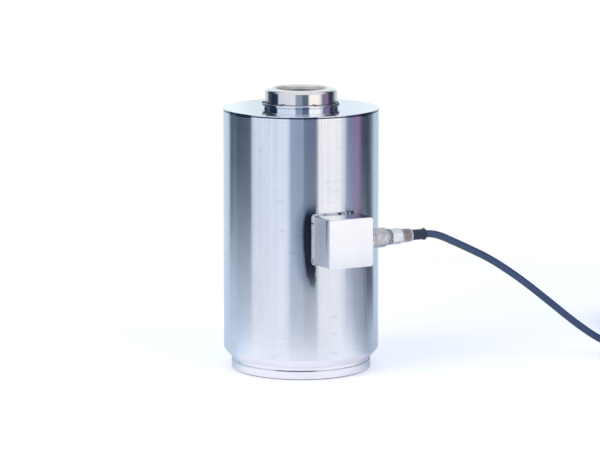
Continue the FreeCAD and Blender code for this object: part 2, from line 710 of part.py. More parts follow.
# Strain gauges on the flats
def gauge(width, height, offset):
    thickness_centre = FLAT_ACROSS / 2 + GAUGE_THICKNESS / 2
    return block(GAUGE_THICKNESS, width, height, thickness_centre, offset, GAUGE_CENTRE_Z)


# Bridge board on standoffs
def bridge_board():
    board = sleeve(BOARD_INNER_RADIUS, BOARD_OUTER_RADIUS, BOARD_BOTTOM_Z, BOARD_TOP_Z)
    for hole in on_standoffs(rod(SCREW_DIAMETER / 2 + FIT_CLEARANCE, BOARD_BOTTOM_Z, BOARD_TOP_Z)):
        board = board.cut(hole)
    return board


def on_standoffs(shape):
    placed = shape.copy()
    placed.translate(V(BOARD_OUTER_RADIUS - STANDOFF_INSET, 0, 0))
    return around_axis(placed, STANDOFF_COUNT, 180.0 / STANDOFF_COUNT)


def board_standoffs():
    post = hex_prism(STANDOFF_FLATS, SPIGOT_TOP_Z, BOARD_BOTTOM_Z)
    post = post.cut(rod(SCREW_DIAMETER / 2, BOARD_TOP_Z - SCREW_LENGTH, BOARD_BOTTOM_Z))
    return Part.makeCompound(on_standoffs(post))


def board_screws():
    screw = rod(SCREW_DIAMETER / 2, BOARD_TOP_Z - SCREW_LENGTH, BOARD_TOP_Z)
    screw = screw.fuse(rod(SCREW_HEAD_DIAMETER / 2, BOARD_TOP_Z, BOARD_TOP_Z + SCREW_HEAD_HEIGHT))
    return Part.makeCompound(on_standoffs(screw.removeSplitter()))


def resistors():
    """Trimming resistors lying on the board, clear of the standoffs and the wires."""
    radius = RESISTOR_DIAMETER / 2
    start = V(BOARD_MID_RADIUS, -RESISTOR_LENGTH / 2, BOARD_TOP_Z + radius)
    body = Part.makeCylinder(radius, RESISTOR_LENGTH, start, V(0, 1, 0))
    return around_axis(body, 4, 22.5)


# Free cable, coil and ties
def cable_lead():
    return bent_tube(CABLE_POINTS, CABLE_RADIUS, "cable_lead")


def rounded_section(inner, outer, bottom, top, corner):
    """Rectangle with rounded corners in the plane through the coil's axis."""
    off = corner * (1 - math.sqrt(0.5))
    return outline([
        (outer - corner, bottom),
        (outer - off, bottom + off, outer, bottom + corner),
        (outer, top - corner),
        (outer - off, top - off, outer - corner, top),
        (inner + corner, top),
        (inner + off, top - off, inner, top - corner),
        (inner, bottom + corner),
        (inner + off, bottom + off, inner + corner, bottom),
    ])


def coil_section(growth=0.0):
    return rounded_section(COIL_INNER_RADIUS - growth, COIL_OUTER_RADIUS + growth,
                           COIL_BOTTOM_Z - growth, COIL_TOP_Z + growth, CABLE_RADIUS + growth)


def at_coil(shape, angle=0.0):
    placed = shape.copy()
    placed.rotate(V(0, 0, 0), V(0, 0, 1), angle)
    placed.translate(V(COIL_CENTRE_X, COIL_CENTRE_Y, 0))
    return placed


def cable_coil():
    ring = at_coil(coil_section().revolve(V(0, 0, 0), V(0, 0, 1), 360))
    entry = Part.makeCylinder(CABLE_RADIUS, COIL_ENTRY_RUN, COIL_ENTRY, V(1, 0, 0))
    return ring.fuse(entry)


def coil_tie(angle):
    """Strap closed round the coil's section, with its lock on the outside."""
    sweep = math.degrees(TIE_WIDTH / COIL_MID_RADIUS)
    strap = coil_section(TIE_THICKNESS).cut(coil_section())
    strap = strap.revolve(V(0, 0, 0), V(0, 0, 1), sweep)
    strap.rotate(V(0, 0, 0), V(0, 0, 1), -sweep / 2)
    lock_inner = COIL_OUTER_RADIUS + TIE_THICKNESS / 2
    lock = block(TIE_HEAD_HEIGHT, TIE_HEAD_SIZE, TIE_HEAD_SIZE,
                 lock_inner + TIE_HEAD_HEIGHT / 2, 0, (COIL_BOTTOM_Z + COIL_TOP_Z) / 2)
    return at_coil(strap.fuse(lock).removeSplitter(), angle)


def cable_end():
    """Last stretch of the cable, lying along the top of the coil."""
    section = Part.Face(Part.Wire(Part.makeCircle(CABLE_RADIUS, V(COIL_MID_RADIUS, 0, 0), V(0, 1, 0))))
    section.translate(V(0, 0, COIL_TOP_Z + CABLE_RADIUS))
    arc = section.revolve(V(0, 0, 0), V(0, 0, 1), END_SWEEP_ANGLE)
    return at_coil(arc, END_START_ANGLE)


def flying_lead(index):
    """Insulated core from the cable's end, fanned over the coil, with a bare tip."""
    rank = index - (len(LEAD_NAMES) - 1) / 2
    side = rank * LEAD_PITCH
    fan = rank * LEAD_SPREAD
    start_z = COIL_TOP_Z + CABLE_RADIUS
    rest_z = COIL_TOP_Z + LEAD_DIAMETER / 2 + LEAD_REST_GAP
    points = [
        (COIL_MID_RADIUS + side, 0, start_z),
        (COIL_MID_RADIUS + side, LEAD_RUN, start_z),
        (COIL_MID_RADIUS + fan + LEAD_LEAN, 3 * LEAD_RUN, rest_z),
        (COIL_MID_RADIUS + fan * 1.4 + 2 * LEAD_LEAN, 4 * LEAD_RUN, rest_z),
    ]
    lead = bent_tube(points, LEAD_DIAMETER / 2)
    heading = (V(*points[-1]) - V(*points[-2])).normalize()
    tip = Part.makeCylinder(LEAD_TIP_DIAMETER / 2, LEAD_TIP_LENGTH, V(*points[-1]), heading)
    return at_coil(lead.fuse(tip), END_START_ANGLE + END_SWEEP_ANGLE)


def build():
    os.makedirs("parts", exist_ok=True)
    single_nodes = (
        spring_element, case_tube, top_cover, stay_diaphragm,
        junction_box, box_cover, header_ring, header_glass, header_pins,
        gland_washer, gland_body, gland_seal, gland_ferrule, gland_nut,
        strain_relief_sleeve, cable_boot, cable_inner_end, core_leads, signal_wires,
        bridge_board, board_standoffs, board_screws,
        cable_lead, cable_coil, cable_end,
    )
    for make in single_nodes:
        save(make(), make.__name__)
    for number, angle in enumerate(TIE_ANGLES, 1):
        save(coil_tie(angle), "coil_tie_%d" % number)
    for index, name in enumerate(LEAD_NAMES):
        save(flying_lead(index), "lead_" + name)
    on_flats = {
        "axial_gauge": gauge(GAUGE_SHORT, GAUGE_LONG, -GAUGE_OFFSET),
        "transverse_gauge": gauge(GAUGE_LONG, GAUGE_SHORT, GAUGE_OFFSET),
        "gauge_wires": gauge_wires(),
    }
    for node, shape in on_flats.items():
        for number, copy in enumerate(around_axis(shape, 4), 1):
            save(copy, "%s_%d" % (node, number))
    resistor_names = ("span_resistor_1", "span_resistor_2", "zero_resistor_1", "zero_resistor_2")
    for node, shape in zip(resistor_names, resistors()):
        save(shape, node)


build()
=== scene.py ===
import bmesh
import bpy
import math
from collections import namedtuple
from mathutils import Matrix, Vector


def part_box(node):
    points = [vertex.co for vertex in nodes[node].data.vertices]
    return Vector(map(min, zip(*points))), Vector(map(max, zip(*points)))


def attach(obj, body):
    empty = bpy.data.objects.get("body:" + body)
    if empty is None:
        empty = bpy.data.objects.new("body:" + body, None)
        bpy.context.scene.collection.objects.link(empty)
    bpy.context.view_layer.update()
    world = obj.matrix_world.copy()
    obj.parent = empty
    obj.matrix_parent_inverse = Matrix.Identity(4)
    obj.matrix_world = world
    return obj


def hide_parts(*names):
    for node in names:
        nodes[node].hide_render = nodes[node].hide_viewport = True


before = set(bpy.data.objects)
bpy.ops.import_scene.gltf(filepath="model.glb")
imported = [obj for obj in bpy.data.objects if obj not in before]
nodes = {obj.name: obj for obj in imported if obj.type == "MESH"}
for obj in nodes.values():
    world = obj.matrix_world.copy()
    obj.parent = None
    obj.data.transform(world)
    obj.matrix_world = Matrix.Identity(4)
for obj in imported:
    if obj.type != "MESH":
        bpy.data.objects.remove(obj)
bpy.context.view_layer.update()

# Looks of a column load cell, in metres in the frame of the CAD: +Z up, origin at the centre of the base
# A fade's two values give where it is none and where it is full, and a band's where it starts and stops

# Camera, fitted to the outlines of the case in the photograph
CAMERA_AZIMUTH = math.radians(-26.33)
CAMERA_ELEVATION = math.radians(9.5205)
CAMERA_DISTANCE = 1.8428
CAMERA_TARGET_Z = 0.09377
CAMERA_LENS_MM = 168.864
CAMERA_SENSOR_MM = 36.0
CAMERA_SHIFT_X = -0.0017

# Panels of the studio by angle from the camera, to its right, with the light that comes from each
BACKDROP = (0.86, 0.97, 1.06)
BACKDROP_SIDE = (0.66, 0.79, 0.92)
LEFT_FLAG = (0.012, 0.026, 0.066)
LEFT_FLAG_OUTER = (0.07, 0.10, 0.17)
LEFT_FLAG_GAP = (0.07, 0.095, 0.15)
LEFT_SOFTBOX = (0.72, 0.79, 0.97)
LEFT_SOFTBOX_INNER = (0.82, 0.89, 1.07)
ROOM_LEFT = (0.27, 0.36, 0.51)
ROOM_POST = (0.29, 0.38, 0.55)
ROOM_RIGHT = (0.11, 0.16, 0.26)
RIGHT_SOFTBOX = (1.14, 1.13, 1.16)
RIGHT_SOFTBOX_EDGE = (0.62, 0.68, 0.82)
SLATE = (0.19, 0.23, 0.38)
PURPLE = (0.26, 0.17, 0.34)
RIGHT_FLAG = (0.032, 0.044, 0.070)
RIGHT_FLAG_EDGE = (0.12, 0.155, 0.235)
RIGHT_BACKDROP = (0.57, 0.68, 0.79)
STUDIO_PANELS = [
    (-180.0, BACKDROP),
    (-168.0, BACKDROP),
    (-158.0, BACKDROP_SIDE),
    (-134.5, BACKDROP_SIDE),
    (-127.5, LEFT_FLAG_OUTER),
    (-118.0, LEFT_FLAG_OUTER),
    (-113.0, LEFT_FLAG_GAP),
    (-109.0, LEFT_FLAG),
    (-79.5, LEFT_FLAG),
    (-76.0, LEFT_SOFTBOX),
    (-18.5, LEFT_SOFTBOX_INNER),
    (-15.5, ROOM_LEFT),
    (-1.0, ROOM_LEFT),
    (0.5, ROOM_POST),
    (2.5, ROOM_POST),
    (4.5, ROOM_RIGHT),
    (23.0, ROOM_RIGHT),
    (26.5, RIGHT_SOFTBOX),
    (58.0, RIGHT_SOFTBOX),
    (69.0, RIGHT_SOFTBOX_EDGE),
    (72.0, SLATE),
    (80.0, SLATE),
    (85.0, PURPLE),
    (95.0, PURPLE),
    (102.0, RIGHT_FLAG),
    (116.0, RIGHT_FLAG),
    (126.0, RIGHT_FLAG_EDGE),
    (138.0, RIGHT_BACKDROP),
    (158.0, RIGHT_BACKDROP),
    (172.0, BACKDROP),
    (180.0, BACKDROP),
]

# Streaks in the panels, dark flags hung high on both sides of the backdrop, and the ceiling, by angle
STREAK_WIDTH = 2.4
STREAK_DEPTH = 0.9
HIGH_FLAG_BAND = (126.0, 154.0)
HIGH_FLAG_EDGE = 2.0
HIGH_FLAG_FOOT = 3.0
PANEL_TOP = 38.0
CEILING_FROM = 58.0
CEILING_COLOUR = (0.82, 0.87, 0.95)

# Floor: pale, and white to the camera where no shadow falls, with a bluish shadow
FLOOR_RADIUS = 0.42
FLOOR_STRETCH = 1.35
FLOOR_DROP = 0.0002
FLOOR_SEGMENTS = 128
FLOOR_COLOUR = (0.80, 0.805, 0.815)

# Glow of the floor: its colour, and its strength where metal mirrors it, in front and all round
GLOW_COLOUR = (0.385, 0.40, 0.46)
GLOW_FRONT = 0.85
GLOW_ROUND = 0.12
GLOW_REACH_FADE = (0.30, 0.09)
GLOW_FORWARD_FADE = (-0.1, 0.5)

# The floor as metal mirrors it, a painted reflection: bluish beside and behind the object, with painted shade
# where flags stand over it
MIRRORED_FLOOR = (0.76, 0.85, 0.95)
MIRRORED_FORWARD_FADE = (0.45, 0.10)
MIRRORED_FLAG_SHADE = (0.46, 0.52, 0.59)
FLAG_HALF = 0.28
FLAG_EDGE = 0.12
FLAG_ASIDE_FULL = 0.5
LEFT_FLAG_REACH_FADE = (0.26, 0.50)
RIGHT_FLAG_REACH_FADE = (0.02, 0.21)
FRONT_FLAG_REACH_FADE = (0.14, 0.36)
FRONT_FLAG_FORWARD_FADE = (0.90, 0.97)

# Lamps: name, angle from the camera, elevation, distance, size and power
LAMPS = [
    ("softbox_left", -52.0, 34.0, 1.3, 0.9, 6.0),
    ("softbox_right", 48.0, 34.0, 1.3, 0.9, 2.0),
]

# Free cable: its straight start, then steps in X and Y from the exit, with the height of its underside
CABLE_DIAMETER = 0.0048
CABLE_STRAIGHT = 0.0020
CABLE_ROUTE = [
    (0.0049, 0.0, 0.09003),
    (0.0085, 0.0, 0.08925),
    (0.0135, -0.0001, 0.0874),
    (0.0210, -0.0001, 0.0839),
    (0.0323, -0.0002, 0.0785),
    (0.04955, -0.0005, 0.0699),
    (0.07205, -0.0010, 0.0549),
    (0.09305, -0.0014, 0.0386),
    (0.11305, -0.0018, 0.0227),
    (0.13105, -0.0020, 0.0102),
    (0.14605, -0.0019, 0.0029),
    (0.16105, -0.0014, 0.0002),
    (0.17905, -0.0003, 0.00006),
    (0.19905, 0.0004, 0.00005),
    (0.21705, 0.0004, 0.00005),
]
CABLE_BEVEL_STEPS = 4
CABLE_SPLINE_STEPS = 5

# Coil of the cable: layers of turns, each turn stepping sideways and each layer rising once, in degrees
COIL_TURNS_ACROSS = 6
COIL_LAYERS = 6
COIL_POINTS_PER_TURN = 16
COIL_START_ANGLE = -90.0
COIL_FIRST_STEP_ANGLE = -140.0
COIL_STEP_TURNBACK = 80.0
COIL_STEP_HALF = 20.0
COIL_LEAVE_ANGLE = 24.0
COIL_RISE_ANGLE = 60.0
COIL_CROSS_ANGLE = 45.0
COIL_TOP_ANGLE = 92.0
COIL_END_ANGLE = 138.0

# Stripped cores: their insulation, and copper beyond a distance from the middle of the coil along them
LEAD_COLOURS = {
    "lead_red": (0.42, 0.015, 0.012),
    "lead_black": (0.012, 0.012, 0.013),
    "lead_green": (0.012, 0.17, 0.035),
    "lead_white": (0.66, 0.66, 0.64),
    "lead_shield": (0.40, 0.28, 0.02),
}
LEAD_DARK_SHARE = 0.75
LEAD_BARE_FROM = 0.028
COPPER = (0.72, 0.36, 0.20)

# Weld bead round the box, where it meets the case
BOX_CORNER = 0.0014
BOX_WELD_RADIUS = 0.00088
BOX_WELD_OUT = 0.00008
BOX_WELD_PROUD = 0.00040
BOX_WELD_PITCH = 0.0013
BOX_WELD_RIPPLE = 0.20
BOX_WELD_SIDES = 14
BOX_WELD_STEPS = 6

# Weld bead between boss and collar, with tacks
BOSS_RADIUS = 0.0235
COLLAR_TOP = 0.1750
BOSS_WELD_RADIUS = 0.00042
BOSS_WELD_INSET = 0.0002
BOSS_WELD_SIDES = 12
BOSS_WELD_STEPS = 420
TACK_COUNT = 7
TACK_FIRST_ANGLE = -56.3
TACK_RADIUS = 0.00105
TACK_OUT = 0.0009
TACK_HALF_LENGTH = 0.0013

# Grain of the welds and threads, and the angles in degrees over which edges stay sharp
WELD_GRAIN = 3500.0
WELD_GRAIN_DEPTH = 4.0e-6
WELD_SHARP_ANGLE = 60.0
THREAD_SHARP_ANGLE = 30.0
KNURL_SHARP_ANGLE = 40.0

# Burnt specks on the bead round the box, more of them towards one end of its top
SPECK_CELLS = 700.0
SPECK_FADE = (0.56, 0.66)
SPECK_EXTRA = 0.13
SPECK_TOP_DEPTH = 0.002
SPECK_X_FADE = (-0.006, 0.010)

# Threads: pitch, root and crest radius, and the run of each thread along its hole
THREAD_STEPS = 64
THREAD_SINK = 0.00005
THREAD_ROOT_SHARE = 0.86
THREAD_CREST_SHARE = 0.14
SOCKET_PITCH = 0.0254 / 12
SOCKET_ROOT = 0.015875
SOCKET_CREST = 0.01473
SOCKET_THREAD_TOP = 0.1760
SOCKET_THREAD_BOTTOM = 0.1545
BOLT_PITCH = 0.0254 / 18
BOLT_ROOT = 0.00397
BOLT_CREST = 0.0032
BOLT_CIRCLE_RADIUS = 0.03175
BOLT_ANGLES = (45.0, 135.0, 225.0, 315.0)
BOLT_THREAD_BOTTOM = 0.0009
BOLT_THREAD_TOP = 0.0112

# Knurl of the strain relief sleeve, measured from the sleeve's end at the nut
KNURL_START = 0.0009
KNURL_END = 0.0061
KNURL_RISE = 0.00026
KNURL_SINK = 0.0002
KNURL_TEETH = 24
KNURL_STEPS_PER_TOOTH = 8
KNURL_ROWS = 48
KNURL_FADE_ROWS = 3
KNURL_CUT_FLAT = 2.0

# Noise: the range that it mostly spans, its detail, and the shares of a roughness that it gives
NOISE_LOW = 0.25
NOISE_HIGH = 0.75
NOISE_DETAIL = 3.0
PLAIN_DETAIL = 2.0
TURNED_ROUGHNESS = (0.9, 1.12)
GROUND_ROUGHNESS = (0.85, 1.2)
MOULDED_ROUGHNESS = (0.85, 1.15)

# Cells per metre of lathe lines, ground and moulded grain, and the patches under them
LATHE_ALONG = 30.0
LATHE_ACROSS = 9000.0
LATHE_ROTATION = 0.25
LATHE_PATCHES = 45.0
LATHE_PATCH_DETAIL = 4.0
LATHE_PATCH_STRETCH = (1, 1, 3)
GROUND_GRAIN = 2500.0
GROUND_PATCHES = 90.0
MOULDED_GRAIN = 1500.0
MOULDED_PATCHES = 60.0

# Edge of a mark that ends sharply
SHARP_EDGE = 0.0001

# Handling marks on the case, and fine ones drawn out round it
SCUFF_COLOUR = (0.60, 0.61, 0.64)
SCUFF_CELLS = 260.0
SCUFF_DETAIL = 5.0
SCUFF_STRETCH = (2, 2, 1)
SCUFF_FADE = (0.58, 0.80)
SCUFF_STRENGTH = 0.5
FINE_SCUFF_ALONG = 120.0
FINE_SCUFF_ACROSS = 1500.0
FINE_SCUFF_FADE = (0.40, 0.85)
FINE_SCUFF_STRENGTH = 0.18

# Brighter polish towards the foot of the case
POLISH_Z_FADE = (0.040, 0.012)
POLISH_SHARE = 0.34

# Tint that welding left on the case beside the box: colour, ragged edge and density
HEAT_COLOUR = (0.022, 0.032, 0.062)
HEAT_SOFTNESS = 0.0011
HEAT_RAGGED = 0.0020
HEAT_RAGGED_CELLS = 850.0
HEAT_RAGGED_DETAIL = 5.0
HEAT_INNER_FADE = (-0.0026, -0.0012)
HEAT_Y_FADE = (0.0, -0.01)
HEAT_THIN_FADE = (0.0, 0.0018)
HEAT_CELLS = 900.0
HEAT_DETAIL = 4.0
HEAT_WEAKEST = 0.90

# Outline of the tint, by height and the share of its reach from the box, and where it is densest
HEAT_REACH = 0.0064
HEAT_LOW = 0.058
HEAT_HIGH = 0.117
HEAT_BOTTOM_FADE = (0.046, 0.076)
HEAT_TOP_FADE = (HEAT_HIGH, 0.1075)
HEAT_OUTLINE = [
    (0.060, 0.00),
    (0.063, 0.20),
    (0.066, 0.38),
    (0.070, 0.56),
    (0.077, 0.74),
    (0.085, 0.82),
    (0.095, 0.92),
    (0.102, 0.88),
    (0.107, 0.74),
    (0.110, 0.60),
    (0.113, 0.42),
    (0.1165, 0.00),
]

# Soft halo round the tint
HALO_COLOUR = (0.24, 0.29, 0.38)
HALO_STRENGTH = 0.62
HALO_REACH = 0.0075
HALO_Z_BAND = (0.062, 0.116)
HALO_EDGE = 0.010

# Painted shade in the groove round the cover
GROOVE_Z = 0.1704
GROOVE_HALF = 0.0005
GROOVE_EDGE = 0.00012
GROOVE_RADIUS = 0.0500
GROOVE_SHADE_COLOUR = (0.28, 0.30, 0.35)

# Straw tint on the boss
STRAW_COLOUR = (0.84, 0.77, 0.66)
STRAW_STRENGTH = 0.6
STRAW_FADE = 0.004

# Base: painted shade on the ledge of its groove and on a lip above it, and a painted shadow in a dark line
# along the foot
LEDGE_Z_BAND = (0.0053, 0.0060)
LEDGE_RADIUS = 0.0457
LEDGE_SHADE_AZIMUTH = math.radians(-31.0)
LEDGE_SHADE_FADE = (0.0422, 0.0440)
LEDGE_SHADE_COLOUR = (0.19, 0.19, 0.20)
LIP_Z_BAND = (0.0078, 0.0083)
LIP_SHADE_COLOUR = (0.56, 0.54, 0.56)
FOOT_HEIGHT = 0.0006
FOOT_SHADOW_COLOUR = (0.34, 0.31, 0.31)

# Rough bore of the socket, with a band of painted shade under its mouth, and a dullness that the ledge shares
BORE_RADIUS = 0.0171
BORE_EDGE = 0.0002
BORE_Z_FADE = (0.150, 0.151)
BORE_Z_BAND = (0.1765, 0.1813)
BORE_BAND_EDGE = 0.0003
BORE_SHADE_COLOUR = (0.17, 0.16, 0.17)
BORE_DULL_SHARE = 0.6
BORE_ROUGHER = 0.4

# Brushed sides of the box: dull beside the weld, and painted shade behind the front plate
BOX_SIDE_DEPTH = 0.0004
BOX_SIDE_ROUGHER = 0.2
DULL_Y_FADE = (-0.0625, -0.0520)
DULL_SHARE = 0.42
SIDE_SHADE_BAND = (0.0004, 0.0026)
SIDE_SHADE_EDGE = 0.0007
SIDE_SHADE_COLOUR = (0.32, 0.35, 0.40)

# Gland: darker bands between distances past the end of its hexagon, which lies short of the body's end
HEX_TO_END = 0.0071
HEX_DARK_BAND = (-0.0008, 0.0004)
RING_DARK_BAND = (0.0013, 0.0025)
GLAND_BAND_COLOUR = (0.38, 0.38, 0.41)

# Bright rim of the sleeve, by its distance from the boot
RIM_COLOUR = (0.62, 0.60, 0.63)
RIM_FADE = (0.0022, 0.0010)


# Small helpers
def smoothstep(value):
    value = min(max(value, 0.0), 1.0)
    return value * value * (3 - 2 * value)


def towards(azimuth, elevation):
    """Direction from the object, with azimuth 0 in front of it and turning to the right."""
    flat = math.cos(elevation)
    return Vector((math.sin(azimuth) * flat, -math.cos(azimuth) * flat, math.sin(elevation)))


def add_object(name, data):
    thing = bpy.data.objects.new(name, data)
    bpy.context.scene.collection.objects.link(thing)
    return thing


def aim(thing, away, distance):
    """Stand a camera or lamp off in a direction, looking at the object."""
    thing.location = Vector((0, 0, CAMERA_TARGET_Z)) + away * distance
    thing.rotation_euler = away.to_track_quat("Z", "Y").to_euler()


def add_piece(name, data):
    piece = add_object(name, data)
    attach(piece, "root")
    return piece


def add_mesh_piece(name, skins, material, sharp_angle):
    """Piece of one smooth mesh, from several closed skins, each a pair of points and faces."""
    points = []
    faces = []
    for skin_points, skin_faces in skins:
        first = len(points)
        points += skin_points
        faces += [tuple(first + corner for corner in face) for face in skin_faces]
    mesh = bpy.data.meshes.new(name)
    mesh.from_pydata(points, [], faces)
    shape = bmesh.new()
    shape.from_mesh(mesh)
    bmesh.ops.recalc_face_normals(shape, faces=shape.faces)
    shape.to_mesh(mesh)
    shape.free()
    mesh.shade_smooth()
    mesh.set_sharp_from_angle(angle=math.radians(sharp_angle))
    mesh.materials.append(material)
    add_piece(name, mesh)


def skin_over(rings, looped):
    """Skin over rings of equal length, whose ends join each other or are capped."""
    count = len(rings[0])
    points = [point for ring in rings for point in ring]
    faces = []
    for k in range(len(rings) if looped else len(rings) - 1):
        near = k * count
        far = (k + 1) % len(rings) * count
        for j in range(count):
            after = (j + 1) % count
            faces.append((near + j, near + after, far + after, far + j))
    if not looped:
        faces.append(tuple(range(count)))
        faces.append(tuple(range(len(points) - count, len(points))))
    return points, faces


# Shader helpers
Place = namedtuple("Place", "point x y z radius")


def feed(tree, socket, value):
    """Set an input to a number or colour, or link it to an output."""
    if isinstance(value, bpy.types.NodeSocket):
        tree.links.new(value, socket)
    elif isinstance(value, tuple):
        socket.default_value = (*value, 1)
    else:
        socket.default_value = value


def calc(tree, operation, *values):
    node = tree.nodes.new("ShaderNodeMath")
    node.operation = operation
    for socket, value in zip(node.inputs, values):
        feed(tree, socket, value)
    return node.outputs[0]


def times(tree, value, *factors):
    """Product of values, or the overlap of masks."""
    for factor in factors:
        value = calc(tree, "MULTIPLY", value, factor)
    return value


def fade(tree, value, none_at, full_at):
    """0 at one value, 1 at another, and smooth between."""
    node = tree.nodes.new("ShaderNodeMapRange")
    node.interpolation_type = "SMOOTHSTEP"
    feed(tree, node.inputs["Value"], value)
    feed(tree, node.inputs["From Min"], none_at)
    feed(tree, node.inputs["From Max"], full_at)
    return node.outputs["Result"]


def band(tree, value, start, stop, edge):
    """1 between two values, with smooth edges."""
    begun = fade(tree, value, start - edge, start + edge)
    return times(tree, begun, fade(tree, value, stop + edge, stop - edge))


def cover(tree, under, over, mask):
    """One colour, and another over it where the mask is 1."""
    node = tree.nodes.new("ShaderNodeMix")
    node.data_type = "RGBA"
    feed(tree, node.inputs["Factor"], mask)
    feed(tree, node.inputs["A"], under)
    feed(tree, node.inputs["B"], over)
    return node.outputs["Result"]


def set_ramp(ramp, stops):
    while len(ramp.elements) > 1:
        ramp.elements.remove(ramp.elements[-1])
    ramp.elements[0].position = stops[0][0]
    ramp.elements[0].color = (*stops[0][1], 1)
    for position, colour in stops[1:]:
        ramp.elements.new(position).color = (*colour, 1)


def place(tree):
    """The point in the frame, its X, Y and Z, and its distance from the column's axis."""
    point = tree.nodes.new("ShaderNodeTexCoord").outputs["Object"]
    parts = tree.nodes.new("ShaderNodeSeparateXYZ")
    tree.links.new(point, parts.inputs[0])
    x, y, z = parts.outputs
    squares = calc(tree, "ADD", times(tree, x, x), times(tree, y, y))
    return Place(point, x, y, z, calc(tree, "SQRT", squares))


def reach_along(tree, point, direction):
    """Distance of a point from the origin along a direction."""
    node = tree.nodes.new("ShaderNodeVectorMath")
    node.operation = "DOT_PRODUCT"
    node.inputs[1].default_value = direction
    tree.links.new(point, node.inputs[0])
    return node.outputs["Value"]


def noise_at(tree, point, detail):
    texture = tree.nodes.new("ShaderNodeTexNoise")
    texture.inputs["Scale"].default_value = 1.0
    texture.inputs["Detail"].default_value = detail
    tree.links.new(point, texture.inputs["Vector"])
    return texture.outputs["Fac"]


def noise(tree, cells, detail=NOISE_DETAIL, stretch=(1, 1, 1)):
    """Noise in the frame, with so many cells per metre, drawn out along each axis."""
    squeeze = tree.nodes.new("ShaderNodeVectorMath")
    squeeze.operation = "MULTIPLY"
    squeeze.inputs[1].default_value = [cells / length for length in stretch]
    tree.links.new(tree.nodes.new("ShaderNodeTexCoord").outputs["Object"], squeeze.inputs[0])
    return noise_at(tree, squeeze.outputs[0], detail)


def lathe_noise(tree, along, across):
    """Noise drawn out round the column's axis, as a turning tool leaves it on faces and on sides."""
    here = place(tree)
    joined = tree.nodes.new("ShaderNodeCombineXYZ")
    tree.links.new(times(tree, here.x, along), joined.inputs["X"])
    tree.links.new(times(tree, here.y, along), joined.inputs["Y"])
    tree.links.new(times(tree, calc(tree, "ADD", here.z, here.radius), across), joined.inputs["Z"])
    return noise_at(tree, joined.outputs[0], PLAIN_DETAIL)


def spread(tree, source, low, high):
    """Map a noise value onto a range of numbers."""
    node = tree.nodes.new("ShaderNodeMapRange")
    node.inputs["From Min"].default_value = NOISE_LOW
    node.inputs["From Max"].default_value = NOISE_HIGH
    node.inputs["To Min"].default_value = low
    node.inputs["To Max"].default_value = high
    tree.links.new(source, node.inputs["Value"])
    return node.outputs["Result"]


def vary(tree, source, roughness, shares):
    """Roughness between two shares of its value, picked by a noise value."""
    return spread(tree, source, roughness * shares[0], roughness * shares[1])


def tint(tree, source, dark, light):
    """Colour between two shades, picked by a noise value."""
    ramp = tree.nodes.new("ShaderNodeValToRGB")
    set_ramp(ramp.color_ramp, [(NOISE_LOW, dark), (NOISE_HIGH, light)])
    tree.links.new(source, ramp.inputs["Fac"])
    return ramp.outputs["Color"]


def bump(tree, shader, source, depth):
    relief = tree.nodes.new("ShaderNodeBump")
    relief.inputs["Distance"].default_value = depth
    tree.links.new(source, relief.inputs["Height"])
    tree.links.new(relief.outputs["Normal"], shader.inputs["Normal"])


# Camera
def add_camera():
    camera_data = bpy.data.cameras.new("camera")
    camera_data.lens = CAMERA_LENS_MM
    camera_data.sensor_width = CAMERA_SENSOR_MM
    camera_data.sensor_fit = "HORIZONTAL"
    camera_data.shift_x = CAMERA_SHIFT_X
    camera = add_object("camera", camera_data)
    aim(camera, towards(CAMERA_AZIMUTH, CAMERA_ELEVATION), CAMERA_DISTANCE)
    bpy.context.scene.camera = camera


# World: a studio that reflections see as upright panels of light and dark round the object
def studio_light(tree):
    """Light that comes from each direction of the studio."""
    parts = tree.nodes.new("ShaderNodeSeparateXYZ")
    tree.links.new(tree.nodes.new("ShaderNodeTexCoord").outputs["Generated"], parts.inputs[0])
    x, y, z = parts.outputs
    azimuth = calc(tree, "ARCTAN2", x, times(tree, y, -1.0))
    turned = calc(tree, "WRAP", calc(tree, "SUBTRACT", azimuth, CAMERA_AZIMUTH), math.pi, -math.pi)
    degrees = times(tree, turned, math.degrees(1.0))
    panels = tree.nodes.new("ShaderNodeValToRGB")
    tree.links.new(calc(tree, "MULTIPLY_ADD", degrees, 1 / 360, 0.5), panels.inputs["Fac"])
    set_ramp(panels.color_ramp, [(0.5 + angle / 360, colour) for angle, colour in STUDIO_PANELS])
    folds = tree.nodes.new("ShaderNodeTexNoise")
    folds.noise_dimensions = "1D"
    folds.inputs["Scale"].default_value = 1.0
    tree.links.new(times(tree, degrees, 1 / STREAK_WIDTH), folds.inputs["W"])
    streaks = calc(tree, "MULTIPLY_ADD", folds.outputs["Fac"], STREAK_DEPTH, 1 - STREAK_DEPTH / 2)
    shade = tree.nodes.new("ShaderNodeVectorMath")
    shade.operation = "SCALE"
    tree.links.new(panels.outputs["Color"], shade.inputs[0])
    tree.links.new(streaks, shade.inputs["Scale"])
    foot = math.sin(math.radians(HIGH_FLAG_FOOT))
    aside = calc(tree, "ABSOLUTE", degrees)
    flag = times(tree, band(tree, aside, *HIGH_FLAG_BAND, HIGH_FLAG_EDGE), fade(tree, z, foot, 2 * foot))
    hung = cover(tree, shade.outputs[0], RIGHT_FLAG, flag)
    panel_top = math.sin(math.radians(PANEL_TOP))
    ceiling_from = math.sin(math.radians(CEILING_FROM))
    return cover(tree, hung, CEILING_COLOUR, fade(tree, z, panel_top, ceiling_from))


